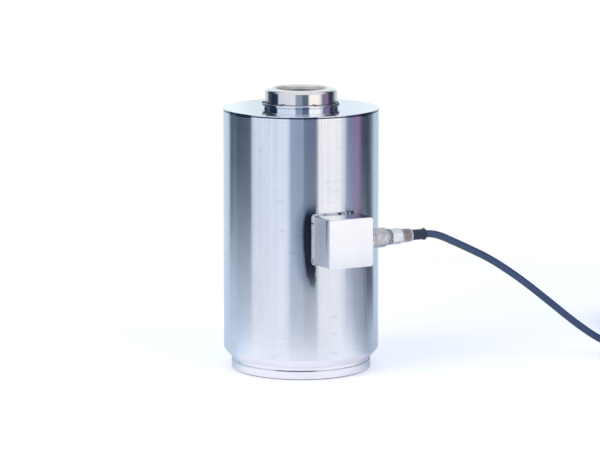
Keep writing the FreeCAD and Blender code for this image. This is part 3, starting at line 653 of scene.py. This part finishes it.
def add_world():
    world = bpy.data.worlds.new("studio")
    bpy.context.scene.world = world
    world.use_nodes = True
    tree = world.node_tree
    tree.nodes.clear()
    studio = tree.nodes.new("ShaderNodeBackground")
    tree.links.new(studio_light(tree), studio.inputs["Color"])
    white = tree.nodes.new("ShaderNodeBackground")
    white.inputs["Color"].default_value = (1, 1, 1, 1)
    choice = tree.nodes.new("ShaderNodeMixShader")
    seen = tree.nodes.new("ShaderNodeLightPath").outputs["Is Camera Ray"]
    tree.links.new(seen, choice.inputs["Fac"])
    tree.links.new(studio.outputs[0], choice.inputs[1])
    tree.links.new(white.outputs[0], choice.inputs[2])
    output = tree.nodes.new("ShaderNodeOutputWorld")
    tree.links.new(choice.outputs[0], output.inputs["Surface"])


# Floor
def mirrored_floor(tree, forward, rightward, radius):
    """Painted colour of the floor as metal mirrors it, with painted shade where flags stand over it."""
    beside = band(tree, forward, -FLAG_HALF, FLAG_HALF, FLAG_EDGE)
    on_left = fade(tree, rightward, 0.0, -FLAG_ASIDE_FULL)
    on_right = fade(tree, rightward, 0.0, FLAG_ASIDE_FULL)
    in_front = fade(tree, forward, *FRONT_FLAG_FORWARD_FADE)
    left = times(tree, on_left, fade(tree, radius, *LEFT_FLAG_REACH_FADE))
    right = times(tree, on_right, fade(tree, radius, *RIGHT_FLAG_REACH_FADE))
    front = times(tree, in_front, fade(tree, radius, *FRONT_FLAG_REACH_FADE))
    # Painted shade where flags stand over the floor, seen only in reflections
    flag_shade = calc(tree, "MULTIPLY_ADD", beside, calc(tree, "ADD", left, right), front)
    bluish = fade(tree, forward, *MIRRORED_FORWARD_FADE)
    return cover(tree, cover(tree, FLOOR_COLOUR, MIRRORED_FLOOR, bluish), MIRRORED_FLAG_SHADE, flag_shade)


def floor_material():
    material = bpy.data.materials.new("floor_white")
    material.use_nodes = True
    tree = material.node_tree
    tree.nodes.clear()
    path = tree.nodes.new("ShaderNodeLightPath").outputs
    mirrored = path["Is Glossy Ray"]
    seen = calc(tree, "MAXIMUM", path["Is Camera Ray"], path["Is Transmission Ray"])
    here = place(tree)
    ahead = reach_along(tree, here.point, towards(CAMERA_AZIMUTH, 0.0))
    aside = reach_along(tree, here.point, towards(CAMERA_AZIMUTH + math.pi / 2, 0.0))
    forward = calc(tree, "DIVIDE", ahead, here.radius)
    rightward = calc(tree, "DIVIDE", aside, here.radius)
    matt = tree.nodes.new("ShaderNodeBsdfDiffuse")
    reflected = mirrored_floor(tree, forward, rightward, here.radius)
    tree.links.new(cover(tree, FLOOR_COLOUR, reflected, mirrored), matt.inputs["Color"])
    in_front = fade(tree, forward, *GLOW_FORWARD_FADE)
    near_front = times(tree, in_front, fade(tree, here.radius, *GLOW_REACH_FADE))
    bright = calc(tree, "MULTIPLY_ADD", near_front, GLOW_FRONT - GLOW_ROUND, GLOW_ROUND)
    glow = tree.nodes.new("ShaderNodeEmission")
    glow.inputs["Color"].default_value = (*GLOW_COLOUR, 1)
    tree.links.new(calc(tree, "MAXIMUM", seen, times(tree, mirrored, bright)), glow.inputs["Strength"])
    total = tree.nodes.new("ShaderNodeAddShader")
    tree.links.new(matt.outputs[0], total.inputs[0])
    tree.links.new(glow.outputs[0], total.inputs[1])
    output = tree.nodes.new("ShaderNodeOutputMaterial")
    tree.links.new(total.outputs[0], output.inputs["Surface"])
    return material


def add_floor():
    mesh = bpy.data.meshes.new("floor")
    shape = bmesh.new()
    stretch = Matrix.Scale(FLOOR_STRETCH, 4, Vector((1, 0, 0)))
    wide = Matrix.Rotation(CAMERA_AZIMUTH, 4, "Z") @ stretch
    bmesh.ops.create_circle(
        shape, cap_ends=True, segments=FLOOR_SEGMENTS, radius=FLOOR_RADIUS, matrix=wide)
    shape.to_mesh(mesh)
    shape.free()
    mesh.materials.append(floor_material())
    floor = add_object("floor", mesh)
    floor.location = (0, 0, -FLOOR_DROP)


# Lamps
def add_lamps():
    for name, side, elevation, distance, size, power in LAMPS:
        lamp_data = bpy.data.lights.new(name, "AREA")
        lamp_data.shape = "DISK"
        lamp_data.size = size
        lamp_data.energy = power
        lamp = add_object(name, lamp_data)
        aim(lamp, towards(math.radians(side) + CAMERA_AZIMUTH, math.radians(elevation)), distance)
        lamp.visible_camera = False
        lamp.visible_glossy = False


# Kinds of material
def new_material(name, colour, roughness, metallic):
    material = bpy.data.materials.new(name)
    material.use_nodes = True
    tree = material.node_tree
    shader = tree.nodes["Principled BSDF"]
    shader.inputs["Base Color"].default_value = (*colour, 1)
    shader.inputs["Roughness"].default_value = roughness
    shader.inputs["Metallic"].default_value = metallic
    return material, tree, shader


def finish_metal(tree, shader, colour, rough, marks, worn):
    """Marks is a function that lays more colour over a metal, and worn one that changes its roughness."""
    if marks:
        colour = marks(tree, colour)
    if worn:
        rough = worn(tree, rough)
    tree.links.new(colour, shader.inputs["Base Color"])
    tree.links.new(rough, shader.inputs["Roughness"])


def turned_steel(name, dark, light, roughness, depth, anisotropy, marks=None, worn=None):
    """Stainless steel with fine lathe lines round the column's axis."""
    material, tree, shader = new_material(name, light, roughness, 1.0)
    patches = noise(tree, LATHE_PATCHES, LATHE_PATCH_DETAIL, LATHE_PATCH_STRETCH)
    rough = vary(tree, patches, roughness, TURNED_ROUGHNESS)
    finish_metal(tree, shader, tint(tree, patches, dark, light), rough, marks, worn)
    bump(tree, shader, lathe_noise(tree, LATHE_ALONG, LATHE_ACROSS), depth)
    shader.inputs["Anisotropic"].default_value = anisotropy
    shader.inputs["Anisotropic Rotation"].default_value = LATHE_ROTATION
    tangent = tree.nodes.new("ShaderNodeTangent")
    tangent.direction_type = "RADIAL"
    tangent.axis = "Z"
    tree.links.new(tangent.outputs[0], shader.inputs["Tangent"])
    return material


def ground_metal(name, dark, light, roughness, depth, grain=GROUND_GRAIN, stretch=(1, 1, 1),
                 patches=GROUND_PATCHES, marks=None, worn=None):
    """Metal with a fine ground grain and soft patches."""
    material, tree, shader = new_material(name, light, roughness, 1.0)
    grains = noise(tree, grain, PLAIN_DETAIL, stretch)
    rough = vary(tree, grains, roughness, GROUND_ROUGHNESS)
    finish_metal(tree, shader, tint(tree, noise(tree, patches), dark, light), rough, marks, worn)
    bump(tree, shader, grains, depth)
    return material


def weld_steel(name, dark, light, roughness, marks=None):
    return ground_metal(name, dark, light, roughness, WELD_GRAIN_DEPTH, WELD_GRAIN, marks=marks)


def moulded(name, dark, light, roughness, depth):
    """Plastic, rubber, glass or board with a fine moulded grain."""
    material, tree, shader = new_material(name, light, roughness, 0.0)
    grains = noise(tree, MOULDED_GRAIN)
    patches = noise(tree, MOULDED_PATCHES, PLAIN_DETAIL)
    tree.links.new(tint(tree, patches, dark, light), shader.inputs["Base Color"])
    tree.links.new(vary(tree, grains, roughness, MOULDED_ROUGHNESS), shader.inputs["Roughness"])
    bump(tree, shader, grains, depth)
    return material


# Marks and wear
def box_size():
    """Half the width of the box, and the height of its middle."""
    low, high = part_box("junction_box")
    return (high.x - low.x) / 2, (high.z + low.z) / 2


def scuffs(tree, colour):
    """Faint handling marks, drawn out round the case."""
    marks = fade(tree, noise(tree, SCUFF_CELLS, SCUFF_DETAIL, SCUFF_STRETCH), *SCUFF_FADE)
    lines = lathe_noise(tree, FINE_SCUFF_ALONG, FINE_SCUFF_ACROSS)
    fine = times(tree, fade(tree, lines, *FINE_SCUFF_FADE), FINE_SCUFF_STRENGTH)
    return cover(tree, colour, SCUFF_COLOUR, calc(tree, "MULTIPLY_ADD", marks, SCUFF_STRENGTH, fine))


def heat_reach(tree, z):
    """How far the tint reaches from the box at a height."""
    outline = tree.nodes.new("ShaderNodeValToRGB")
    span = HEAT_HIGH - HEAT_LOW
    stops = [((height - HEAT_LOW) / span, (share, share, share)) for height, share in HEAT_OUTLINE]
    set_ramp(outline.color_ramp, stops)
    up = calc(tree, "DIVIDE", calc(tree, "SUBTRACT", z, HEAT_LOW), span)
    tree.links.new(up, outline.inputs["Fac"])
    return times(tree, outline.outputs["Color"], HEAT_REACH)


def heat_tint(tree, colour):
    """Scuffs, and a dark tint with a soft halo on one side of the box's weld and in a tail below it."""
    half, _ = box_size()
    here = place(tree)
    uneven = noise(tree, HEAT_RAGGED_CELLS, HEAT_RAGGED_DETAIL)
    ragged = calc(tree, "MULTIPLY_ADD", uneven, HEAT_RAGGED, -HEAT_RAGGED / 2)
    from_side = calc(tree, "SUBTRACT", times(tree, here.x, -1.0), half)
    beside = calc(tree, "ADD", from_side, ragged)
    reach = heat_reach(tree, here.z)
    past_edge = calc(tree, "SUBTRACT", beside, reach)
    inner = fade(tree, beside, *HEAT_INNER_FADE)
    in_front = times(tree, inner, fade(tree, here.y, *HEAT_Y_FADE))
    halo = times(
        tree,
        fade(tree, past_edge, HALO_REACH, 0.0),
        in_front,
        band(tree, here.z, *HALO_Z_BAND, HALO_EDGE),
        HALO_STRENGTH,
    )
    tinted = times(
        tree,
        fade(tree, past_edge, HEAT_SOFTNESS, -HEAT_SOFTNESS),
        fade(tree, reach, *HEAT_THIN_FADE),
        in_front,
        spread(tree, noise(tree, HEAT_CELLS, HEAT_DETAIL), HEAT_WEAKEST, 1.0),
        fade(tree, here.z, *HEAT_BOTTOM_FADE),
        fade(tree, here.z, *HEAT_TOP_FADE),
    )
    hazed = cover(tree, scuffs(tree, colour), HALO_COLOUR, halo)
    return cover(tree, hazed, HEAT_COLOUR, tinted)


def polished_foot(tree, rough):
    """The case is polished brighter towards its foot."""
    low = fade(tree, place(tree).z, *POLISH_Z_FADE)
    return times(tree, rough, calc(tree, "MULTIPLY_ADD", low, -POLISH_SHARE, 1.0))


def groove_shade(tree, colour):
    """Painted shade in the groove round the cover."""
    here = place(tree)
    in_groove = band(tree, here.z, GROOVE_Z - GROOVE_HALF, GROOVE_Z + GROOVE_HALF, GROOVE_EDGE)
    outside = fade(tree, here.radius, GROOVE_RADIUS - SHARP_EDGE, GROOVE_RADIUS)
    return cover(tree, colour, GROOVE_SHADE_COLOUR, times(tree, in_groove, outside))


def on_ledge(tree, here):
    """1 on the ledge of the base's groove and just above it."""
    inside = fade(tree, here.radius, LEDGE_RADIUS, LEDGE_RADIUS - SHARP_EDGE)
    return times(tree, band(tree, here.z, *LEDGE_Z_BAND, SHARP_EDGE), inside)


def in_bore(tree, here):
    """1 within the radius of the socket."""
    return fade(tree, here.radius, BORE_RADIUS, BORE_RADIUS - BORE_EDGE)


def column_marks(tree, colour):
    """Painted shade on the ledge and lip of the base, a painted shadow along its foot, straw tint on the
    boss, and a band of painted shade in the socket.
    """
    here = place(tree)
    # Painted shade on the ledge of the base's groove, on one side of it
    ahead = reach_along(tree, here.point, towards(LEDGE_SHADE_AZIMUTH, 0.0))
    ledge_shade = times(tree, fade(tree, ahead, *LEDGE_SHADE_FADE), on_ledge(tree, here))
    # Painted shade on a lip above the base's ring
    lip_shade = band(tree, here.z, *LIP_Z_BAND, SHARP_EDGE)
    boss = times(tree, fade(tree, here.z, COLLAR_TOP - STRAW_FADE, COLLAR_TOP), STRAW_STRENGTH)
    # Painted shadow in a dark line along the foot
    foot = fade(tree, here.z, FOOT_HEIGHT + SHARP_EDGE, FOOT_HEIGHT - SHARP_EDGE)
    # Painted shade in a band under the socket's mouth
    shade_under_mouth = band(tree, here.z, *BORE_Z_BAND, BORE_BAND_EDGE)
    socket = times(tree, in_bore(tree, here), shade_under_mouth)
    layers = [
        (LEDGE_SHADE_COLOUR, ledge_shade),
        (LIP_SHADE_COLOUR, lip_shade),
        (STRAW_COLOUR, boss),
        (FOOT_SHADOW_COLOUR, foot),
        (BORE_SHADE_COLOUR, socket),
    ]
    for over, mask in layers:
        colour = cover(tree, colour, over, mask)
    return colour


def dull_metal(tree, mask, share):
    """Take away a share of the metal's mirror where the mask is 1."""
    metallic = calc(tree, "MULTIPLY_ADD", mask, -share, 1.0)
    tree.links.new(metallic, tree.nodes["Principled BSDF"].inputs["Metallic"])


def rough_bore(tree, rough):
    """The socket's wall is bored and dull, not polished, and so is the base's ledge."""
    here = place(tree)
    bored = times(tree, in_bore(tree, here), fade(tree, here.z, *BORE_Z_FADE))
    dull = calc(tree, "MAXIMUM", bored, on_ledge(tree, here))
    dull_metal(tree, dull, BORE_DULL_SHARE)
    return calc(tree, "MULTIPLY_ADD", dull, BORE_ROUGHER, rough)


def on_box_sides(tree, here):
    """1 on the two upright sides of the box."""
    half, _ = box_size()
    return fade(tree, calc(tree, "ABSOLUTE", here.x), half - BOX_SIDE_DEPTH, half - SHARP_EDGE)


def rough_sides(tree, rough):
    """The sides of the box are brushed, dullest beside the weld, and the rest of it is polished."""
    here = place(tree)
    side = on_box_sides(tree, here)
    dull_metal(tree, times(tree, side, fade(tree, here.y, *DULL_Y_FADE)), DULL_SHARE)
    return calc(tree, "MULTIPLY_ADD", side, BOX_SIDE_ROUGHER, rough)


def box_side_shade(tree, colour):
    """Painted shade down the sides of the box behind its front plate, fading towards the bottom."""
    half, middle_z = box_size()
    here = place(tree)
    behind_plate = calc(tree, "SUBTRACT", here.y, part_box("junction_box")[0].y)
    strip = band(tree, behind_plate, *SIDE_SHADE_BAND, SIDE_SHADE_EDGE)
    high = fade(tree, here.z, middle_z - half, middle_z + half)
    return cover(tree, colour, SIDE_SHADE_COLOUR, times(tree, strip, on_box_sides(tree, here), high))


def gland_dark_bands(tree, colour):
    """Darker bands on the end of the gland's hexagon and on the ring beyond its neck."""
    hex_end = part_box("gland_body")[1].x - HEX_TO_END
    past_hex = calc(tree, "SUBTRACT", place(tree).x, hex_end)
    on_hex = band(tree, past_hex, *HEX_DARK_BAND, SHARP_EDGE)
    on_ring = band(tree, past_hex, *RING_DARK_BAND, SHARP_EDGE)
    return cover(tree, colour, GLAND_BAND_COLOUR, calc(tree, "MAXIMUM", on_hex, on_ring))


def sleeve_rim(tree, colour):
    """Bright rim of the sleeve, where the boot starts."""
    to_boot = calc(tree, "SUBTRACT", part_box("cable_boot")[0].x, place(tree).x)
    return cover(tree, colour, RIM_COLOUR, fade(tree, to_boot, *RIM_FADE))


def burnt_specks(tree, colour):
    """Dark specks on the bead, most of them at one end of its top."""
    half, middle_z = box_size()
    here = place(tree)
    top = middle_z + half
    on_top = fade(tree, here.z, top - SPECK_TOP_DEPTH, top)
    more = times(tree, on_top, fade(tree, here.x, *SPECK_X_FADE))
    uneven = calc(tree, "MULTIPLY_ADD", more, SPECK_EXTRA, noise(tree, SPECK_CELLS))
    return cover(tree, colour, HEAT_COLOUR, fade(tree, uneven, *SPECK_FADE))


# Finishes of the CAD nodes
def paint(material, *names):
    for name in names:
        slots = nodes[name].data.materials
        slots.clear()
        slots.append(material)


def finish_steel():
    """Column, case and box."""
    case_steel = turned_steel(
        "case_steel", dark=(0.74, 0.75, 0.77), light=(0.86, 0.87, 0.89), roughness=0.205,
        depth=0.4e-6, anisotropy=0.99, marks=heat_tint, worn=polished_foot)
    # The cover carries painted shade in the groove round its edge
    cover_steel = turned_steel(
        "cover_steel", dark=(0.82, 0.83, 0.85), light=(0.88, 0.89, 0.91), roughness=0.07,
        depth=0.1e-6, anisotropy=0.2, marks=groove_shade)
    column_steel = turned_steel(
        "column_steel", dark=(0.83, 0.81, 0.83), light=(0.90, 0.87, 0.89), roughness=0.15,
        depth=0.3e-6, anisotropy=0.75, marks=column_marks, worn=rough_bore)
    # The box carries painted shade down its sides behind the front plate
    box_steel = ground_metal(
        "box_steel", dark=(0.87, 0.88, 0.90), light=(0.92, 0.93, 0.95), roughness=0.14,
        depth=0.4e-6, grain=3000.0, stretch=(1, 1, 25), marks=box_side_shade, worn=rough_sides)
    plate_steel = ground_metal(
        "plate_steel", dark=(0.84, 0.85, 0.87), light=(0.88, 0.89, 0.91), roughness=0.15, depth=0.4e-6)
    paint(case_steel, "case_tube")
    paint(cover_steel, "top_cover")
    paint(column_steel, "spring_element", "stay_diaphragm")
    paint(box_steel, "junction_box")
    paint(plate_steel, "box_cover")


def brown_metal():
    return ground_metal(
        "brown_metal", dark=(0.38, 0.32, 0.32), light=(0.78, 0.68, 0.67), roughness=0.3,
        depth=3.0e-6, grain=1600.0, marks=sleeve_rim)


def finish_gland(sleeve_metal):
    """Gland, sleeve and boot."""
    # The gland carries darker bands on the end of its hexagon and on its ring
    nickel = ground_metal(
        "satin_nickel", dark=(0.42, 0.40, 0.41), light=(0.78, 0.75, 0.76), roughness=0.32,
        depth=2.0e-6, grain=1800.0, patches=420.0, marks=gland_dark_bands)
    bright_nickel = ground_metal(
        "bright_nickel", dark=(0.64, 0.66, 0.68), light=(0.90, 0.91, 0.93), roughness=0.24,
        depth=0.8e-6, patches=380.0)
    boot = moulded(
        "boot_rubber", dark=(0.018, 0.026, 0.052), light=(0.028, 0.040, 0.074), roughness=0.42, depth=10.0e-6)
    seal = moulded(
        "seal_rubber", dark=(0.02, 0.02, 0.02), light=(0.04, 0.04, 0.04), roughness=0.6, depth=10.0e-6)
    paint(nickel, "gland_body", "gland_washer", "gland_ferrule")
    paint(bright_nickel, "gland_nut")
    paint(sleeve_metal, "strain_relief_sleeve")
    paint(boot, "cable_boot", "cable_inner_end")
    paint(seal, "gland_seal")


def finish_inside():
    """Header, board, gauges and wires in the case and the box."""
    plated = ground_metal(
        "plated_steel", dark=(0.55, 0.54, 0.50), light=(0.68, 0.67, 0.62), roughness=0.3, depth=1.0e-6)
    pin_gold = ground_metal(
        "pin_gold", dark=(0.70, 0.52, 0.20), light=(0.82, 0.62, 0.28), roughness=0.25, depth=1.0e-6)
    glass = moulded(
        "header_glass", dark=(0.03, 0.09, 0.06), light=(0.06, 0.15, 0.10), roughness=0.12, depth=1.0e-6)
    board = moulded(
        "board_laminate", dark=(0.02, 0.12, 0.05), light=(0.04, 0.18, 0.08), roughness=0.4, depth=4.0e-6)
    resistor = moulded(
        "resistor_body", dark=(0.32, 0.22, 0.12), light=(0.45, 0.33, 0.2), roughness=0.45, depth=4.0e-6)
    film = moulded(
        "gauge_film", dark=(0.50, 0.28, 0.06), light=(0.64, 0.38, 0.10), roughness=0.3, depth=2.0e-6)
    wire = moulded(
        "wire_insulation", dark=(0.50, 0.50, 0.48), light=(0.66, 0.66, 0.63), roughness=0.4, depth=4.0e-6)
    paint(plated, "header_ring", "board_standoffs", "board_screws")
    paint(pin_gold, "header_pins")
    paint(glass, "header_glass")
    paint(board, "bridge_board")
    paint(resistor, "span_resistor_1", "span_resistor_2", "zero_resistor_1", "zero_resistor_2")
    paint(wire, "core_leads", "signal_wires")
    for k in range(1, 5):
        paint(film, "axial_gauge_%d" % k, "transverse_gauge_%d" % k)
        paint(wire, "gauge_wires_%d" % k)


def finish_ties():
    nylon = moulded(
        "tie_nylon", dark=(0.015, 0.015, 0.016), light=(0.035, 0.035, 0.037), roughness=0.4, depth=6.0e-6)
    paint(nylon, "coil_tie_1", "coil_tie_2")


def finish_leads():
    """Coloured insulation, and bare copper at the tips."""
    middle, _, _ = coil_frame()
    turn = math.radians(COIL_END_ANGLE)
    along = Vector((-math.sin(turn), math.cos(turn), 0))
    bare_from = middle.dot(along) + LEAD_BARE_FROM
    for node, colour in LEAD_COLOURS.items():
        dark = tuple(LEAD_DARK_SHARE * part for part in colour)
        material = moulded(node, dark, colour, roughness=0.38, depth=4.0e-6)
        tree = material.node_tree
        shader = tree.nodes["Principled BSDF"]
        past = reach_along(tree, place(tree).point, along)
        bare = fade(tree, past, bare_from - SHARP_EDGE, bare_from + SHARP_EDGE)
        insulation = shader.inputs["Base Color"].links[0].from_socket
        tree.links.new(cover(tree, insulation, COPPER, bare), shader.inputs["Base Color"])
        tree.links.new(bare, shader.inputs["Metallic"])
        paint(material, node)


# Free cable with its coil, on one smooth spline
def coil_frame():
    """Centre, bottom and outer radius of the coil, from its CAD solid."""
    low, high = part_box("cable_coil")
    outer = (high.y - low.y) / 2
    middle = Vector((high.x - outer, (high.y + low.y) / 2, 0))
    bottom = high.z - COIL_LAYERS * CABLE_DIAMETER
    return middle, bottom, outer


def coil_steps():
    """Angle spans over which the winding steps sideways or rises, and the angle where it ends."""
    steps = []
    angle = COIL_START_ANGLE
    for layer in range(COIL_LAYERS):
        step_at = COIL_FIRST_STEP_ANGLE - COIL_STEP_TURNBACK * layer
        while step_at - COIL_STEP_HALF < angle:
            step_at += 360.0
        sideways = 1 if layer % 2 == 0 else -1
        for _ in range(COIL_TURNS_ACROSS - 1):
            steps.append((step_at - COIL_STEP_HALF, step_at + COIL_STEP_HALF, sideways, 0))
            step_at += 360.0
        if layer < COIL_LAYERS - 1:
            steps.append((step_at - 3 * COIL_STEP_HALF, step_at - COIL_STEP_HALF, 0, 1))
            angle = step_at - COIL_STEP_HALF
    leave = COIL_LEAVE_ANGLE
    while leave < steps[-1][1]:
        leave += 360.0
    return steps, leave


def coil_points():
    """Control points of the coil, set out a little because the spline passes inside them."""
    middle, bottom, outer = coil_frame()
    steps, leave = coil_steps()
    step_angle = 360.0 / COIL_POINTS_PER_TURN
    swell = 1 / (0.75 + 0.25 * math.cos(math.radians(step_angle)))
    outer_line = outer - CABLE_DIAMETER / 2
    floor_line = bottom + CABLE_DIAMETER / 2
    end = leave + COIL_END_ANGLE - COIL_LEAVE_ANGLE
    end_radius = outer - COIL_TURNS_ACROSS * CABLE_DIAMETER / 2
    points = []
    count = math.ceil((end - COIL_START_ANGLE) / step_angle)
    for k in range(count + 1):
        angle = min(COIL_START_ANGLE + (k + 0.5) * step_angle, end)
        column = 0.0
        layer = 0.0
        for start, stop, sideways, rise in steps:
            done = smoothstep((angle - start) / (stop - start))
            column += sideways * done
            layer += rise * done
        after = angle - leave + COIL_LEAVE_ANGLE
        layer += smoothstep((after - COIL_LEAVE_ANGLE) / (COIL_RISE_ANGLE - COIL_LEAVE_ANGLE))
        radius = outer_line - column * CABLE_DIAMETER
        inwards = smoothstep((after - COIL_CROSS_ANGLE) / (COIL_TOP_ANGLE - COIL_CROSS_ANGLE))
        radius += (end_radius - radius) * inwards
        turn = math.radians(angle)
        out = Vector((math.cos(turn), math.sin(turn), 0))
        up = Vector((0, 0, floor_line + layer * CABLE_DIAMETER))
        points.append(middle + out * (radius * swell) + up)
    return points


def cable_points():
    boot_low, boot_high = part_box("cable_boot")
    boot_middle = (boot_low + boot_high) / 2
    exit_point = Vector((boot_high.x, boot_middle.y, boot_middle.z))
    points = [exit_point, exit_point + Vector((CABLE_STRAIGHT, 0, 0))]
    for step_x, step_y, height in CABLE_ROUTE:
        middle_z = CABLE_DIAMETER / 2 + height
        points.append(Vector((exit_point.x + step_x, exit_point.y + step_y, middle_z)))
    return points + coil_points()


def add_cable():
    points = cable_points()
    curve = bpy.data.curves.new("signal_cable", "CURVE")
    curve.dimensions = "3D"
    curve.bevel_depth = CABLE_DIAMETER / 2
    curve.bevel_resolution = CABLE_BEVEL_STEPS
    curve.use_fill_caps = True
    spline = curve.splines.new("NURBS")
    spline.points.add(len(points) - 1)
    for control, point in zip(spline.points, points):
        control.co = (*point, 1)
    spline.order_u = 3
    spline.use_endpoint_u = True
    spline.resolution_u = CABLE_SPLINE_STEPS
    jacket = moulded(
        "cable_jacket", dark=(0.040, 0.068, 0.146), light=(0.055, 0.092, 0.184), roughness=0.36, depth=4.0e-6)
    curve.materials.append(jacket)
    cable = add_piece("signal_cable", curve)
    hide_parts("cable_lead", "cable_coil", "cable_end")


# Welds
def bead_ring(middle, bead, across, up, sides):
    """Points round the section of a bead."""
    ring = []
    for j in range(sides):
        turn = 2 * math.pi * j / sides
        ring.append(middle + bead * (math.cos(turn) * across + math.sin(turn) * up))
    return ring


def rounded_square(half, corner, along):
    """Point and outward direction at a distance along the outline of a rounded square."""
    straight = 2 * (half - corner)
    side, rest = divmod(along, straight + corner * math.pi / 2)
    if rest < straight:
        point = Vector((half, rest - straight / 2))
        out = Vector((1, 0))
    else:
        swing = (rest - straight) / corner
        out = Vector((math.cos(swing), math.sin(swing)))
        point = Vector((half - corner, half - corner)) + corner * out
    turn = Matrix.Rotation(side * math.pi / 2, 2)
    return turn @ point, turn @ out


def add_box_weld():
    """Rippled bead round the box, laid in the corner between its sides and the round case."""
    half, middle_z = box_size()
    case_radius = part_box("case_tube")[1].x
    length = 4 * (2 * (half - BOX_CORNER) + BOX_CORNER * math.pi / 2)
    ripples = round(length / BOX_WELD_PITCH)
    count = ripples * BOX_WELD_STEPS
    rings = []
    for k in range(count):
        flat, flat_out = rounded_square(half, BOX_CORNER, length * k / count)
        depth = math.sqrt(case_radius ** 2 - flat.x ** 2)
        foot = Vector((flat.x, -depth, middle_z + flat.y))
        out = Vector((flat_out.x, 0, flat_out.y))
        radial = Vector((flat.x, -depth, 0)) / case_radius
        middle = foot + out * BOX_WELD_OUT + radial * BOX_WELD_PROUD
        swell = abs(math.sin(math.pi * k / BOX_WELD_STEPS))
        bead = BOX_WELD_RADIUS * (1 - BOX_WELD_RIPPLE + BOX_WELD_RIPPLE * swell)
        rings.append(bead_ring(middle, bead, out, radial, BOX_WELD_SIDES))
    bright = weld_steel(
        "weld_steel", dark=(0.62, 0.62, 0.64), light=(0.84, 0.85, 0.87), roughness=0.26, marks=burnt_specks)
    add_mesh_piece("box_weld", [skin_over(rings, True)], bright, WELD_SHARP_ANGLE)


def add_boss_weld():
    """Thin bead in the corner between boss and collar, with a row of tacks."""
    up = Vector((0, 0, 1))
    rings = []
    for k in range(BOSS_WELD_STEPS):
        angle = 2 * math.pi * k / BOSS_WELD_STEPS
        tacked = 0.0
        for tack in range(TACK_COUNT):
            tack_angle = math.radians(TACK_FIRST_ANGLE + 360.0 * tack / TACK_COUNT)
            apart = math.remainder(angle - tack_angle, 2 * math.pi) * BOSS_RADIUS / TACK_HALF_LENGTH
            tacked += math.exp(-apart * apart)
        bead = BOSS_WELD_RADIUS + (TACK_RADIUS - BOSS_WELD_RADIUS) * tacked
        out = towards(angle, 0.0)
        middle = out * (BOSS_RADIUS + BOSS_WELD_INSET + TACK_OUT * tacked) + up * COLLAR_TOP
        rings.append(bead_ring(middle, bead, out, up, BOSS_WELD_SIDES))
    dark = weld_steel("tinted_weld_steel", dark=(0.16, 0.15, 0.16), light=(0.34, 0.31, 0.31), roughness=0.34)
    add_mesh_piece("boss_weld", [skin_over(rings, True)], dark, WELD_SHARP_ANGLE)


# Threads
def thread_skin(centre, bottom, top, pitch, root, crest):
    """Ridge of a thread in a hole, which fades out over half a turn at both ends."""
    count = math.ceil((top - bottom) / pitch * THREAD_STEPS)
    buried = root + THREAD_SINK
    foot = Vector((0, 0, pitch * THREAD_ROOT_SHARE / 2))
    edge = Vector((0, 0, pitch * THREAD_CREST_SHARE / 2))
    rings = []
    for k in range(count + 1):
        turn = 2 * math.pi * k / THREAD_STEPS
        out = Vector((math.cos(turn), math.sin(turn), 0))
        middle = centre + Vector((0, 0, bottom + pitch * k / THREAD_STEPS))
        rise = smoothstep(min(k, count - k) / (THREAD_STEPS / 2))
        wall = middle + out * (buried + THREAD_SINK)
        ridge = middle + out * (buried - (buried - crest) * rise)
        rings.append([wall - foot, ridge - edge, ridge + edge, wall + foot])
    return skin_over(rings, False)


def add_threads():
    cut_steel = weld_steel("cut_steel", dark=(0.66, 0.67, 0.69), light=(0.80, 0.81, 0.83), roughness=0.3)
    socket = thread_skin(
        Vector(), SOCKET_THREAD_BOTTOM, SOCKET_THREAD_TOP, SOCKET_PITCH, SOCKET_ROOT, SOCKET_CREST)
    add_mesh_piece("socket_thread", [socket], cut_steel, THREAD_SHARP_ANGLE)
    holes = []
    for degrees in BOLT_ANGLES:
        turn = math.radians(degrees)
        centre = BOLT_CIRCLE_RADIUS * Vector((math.cos(turn), math.sin(turn), 0))
        holes.append(thread_skin(
            centre, BOLT_THREAD_BOTTOM, BOLT_THREAD_TOP, BOLT_PITCH, BOLT_ROOT, BOLT_CREST))
    add_mesh_piece("base_threads", holes, cut_steel, THREAD_SHARP_ANGLE)


# Knurl
def zigzag(value):
    """0 at whole numbers and 1 halfway between them."""
    return 1 - abs(2 * (value % 1.0) - 1)


def add_knurl(material):
    """Diamond knurl round the strain relief sleeve, with flat tops, on a closed ring sunk into it."""
    low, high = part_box("strain_relief_sleeve")
    nut_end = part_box("gland_nut")[1].x
    middle = (low + high) / 2
    start = Vector((nut_end + KNURL_START, middle.y, middle.z))
    grip = (high.z - low.z) / 2
    length = KNURL_END - KNURL_START
    tooth = 2 * math.pi * grip / KNURL_TEETH
    around = KNURL_TEETH * KNURL_STEPS_PER_TOOTH
    rings = []
    for k in range(around):
        turn = 2 * math.pi * k / around
        out = Vector((0, math.cos(turn), math.sin(turn)))
        ring = []
        for row in range(KNURL_ROWS + 1):
            along = length * row / KNURL_ROWS
            right = zigzag(k / KNURL_STEPS_PER_TOOTH + along / tooth)
            left = zigzag(k / KNURL_STEPS_PER_TOOTH - along / tooth)
            inside = smoothstep(min(row, KNURL_ROWS - row) / KNURL_FADE_ROWS)
            height = KNURL_RISE * inside * min(right, left) * KNURL_CUT_FLAT
            ring.append((along, grip + min(height, KNURL_RISE)))
        ring += [(length, grip - KNURL_SINK), (0.0, grip - KNURL_SINK)]
        rings.append([start + Vector((along, 0, 0)) + out * radius for along, radius in ring])
    add_mesh_piece("sleeve_knurl", [skin_over(rings, True)], material, KNURL_SHARP_ANGLE)


add_camera()
add_world()
add_floor()
add_lamps()
finish_steel()
sleeve_metal = brown_metal()
finish_gland(sleeve_metal)
finish_inside()
finish_ties()
finish_leads()
add_cable()
add_box_weld()
add_boss_weld()
add_threads()
add_knurl(sleeve_metal)

bpy.context.scene.view_settings.view_transform = "Standard"
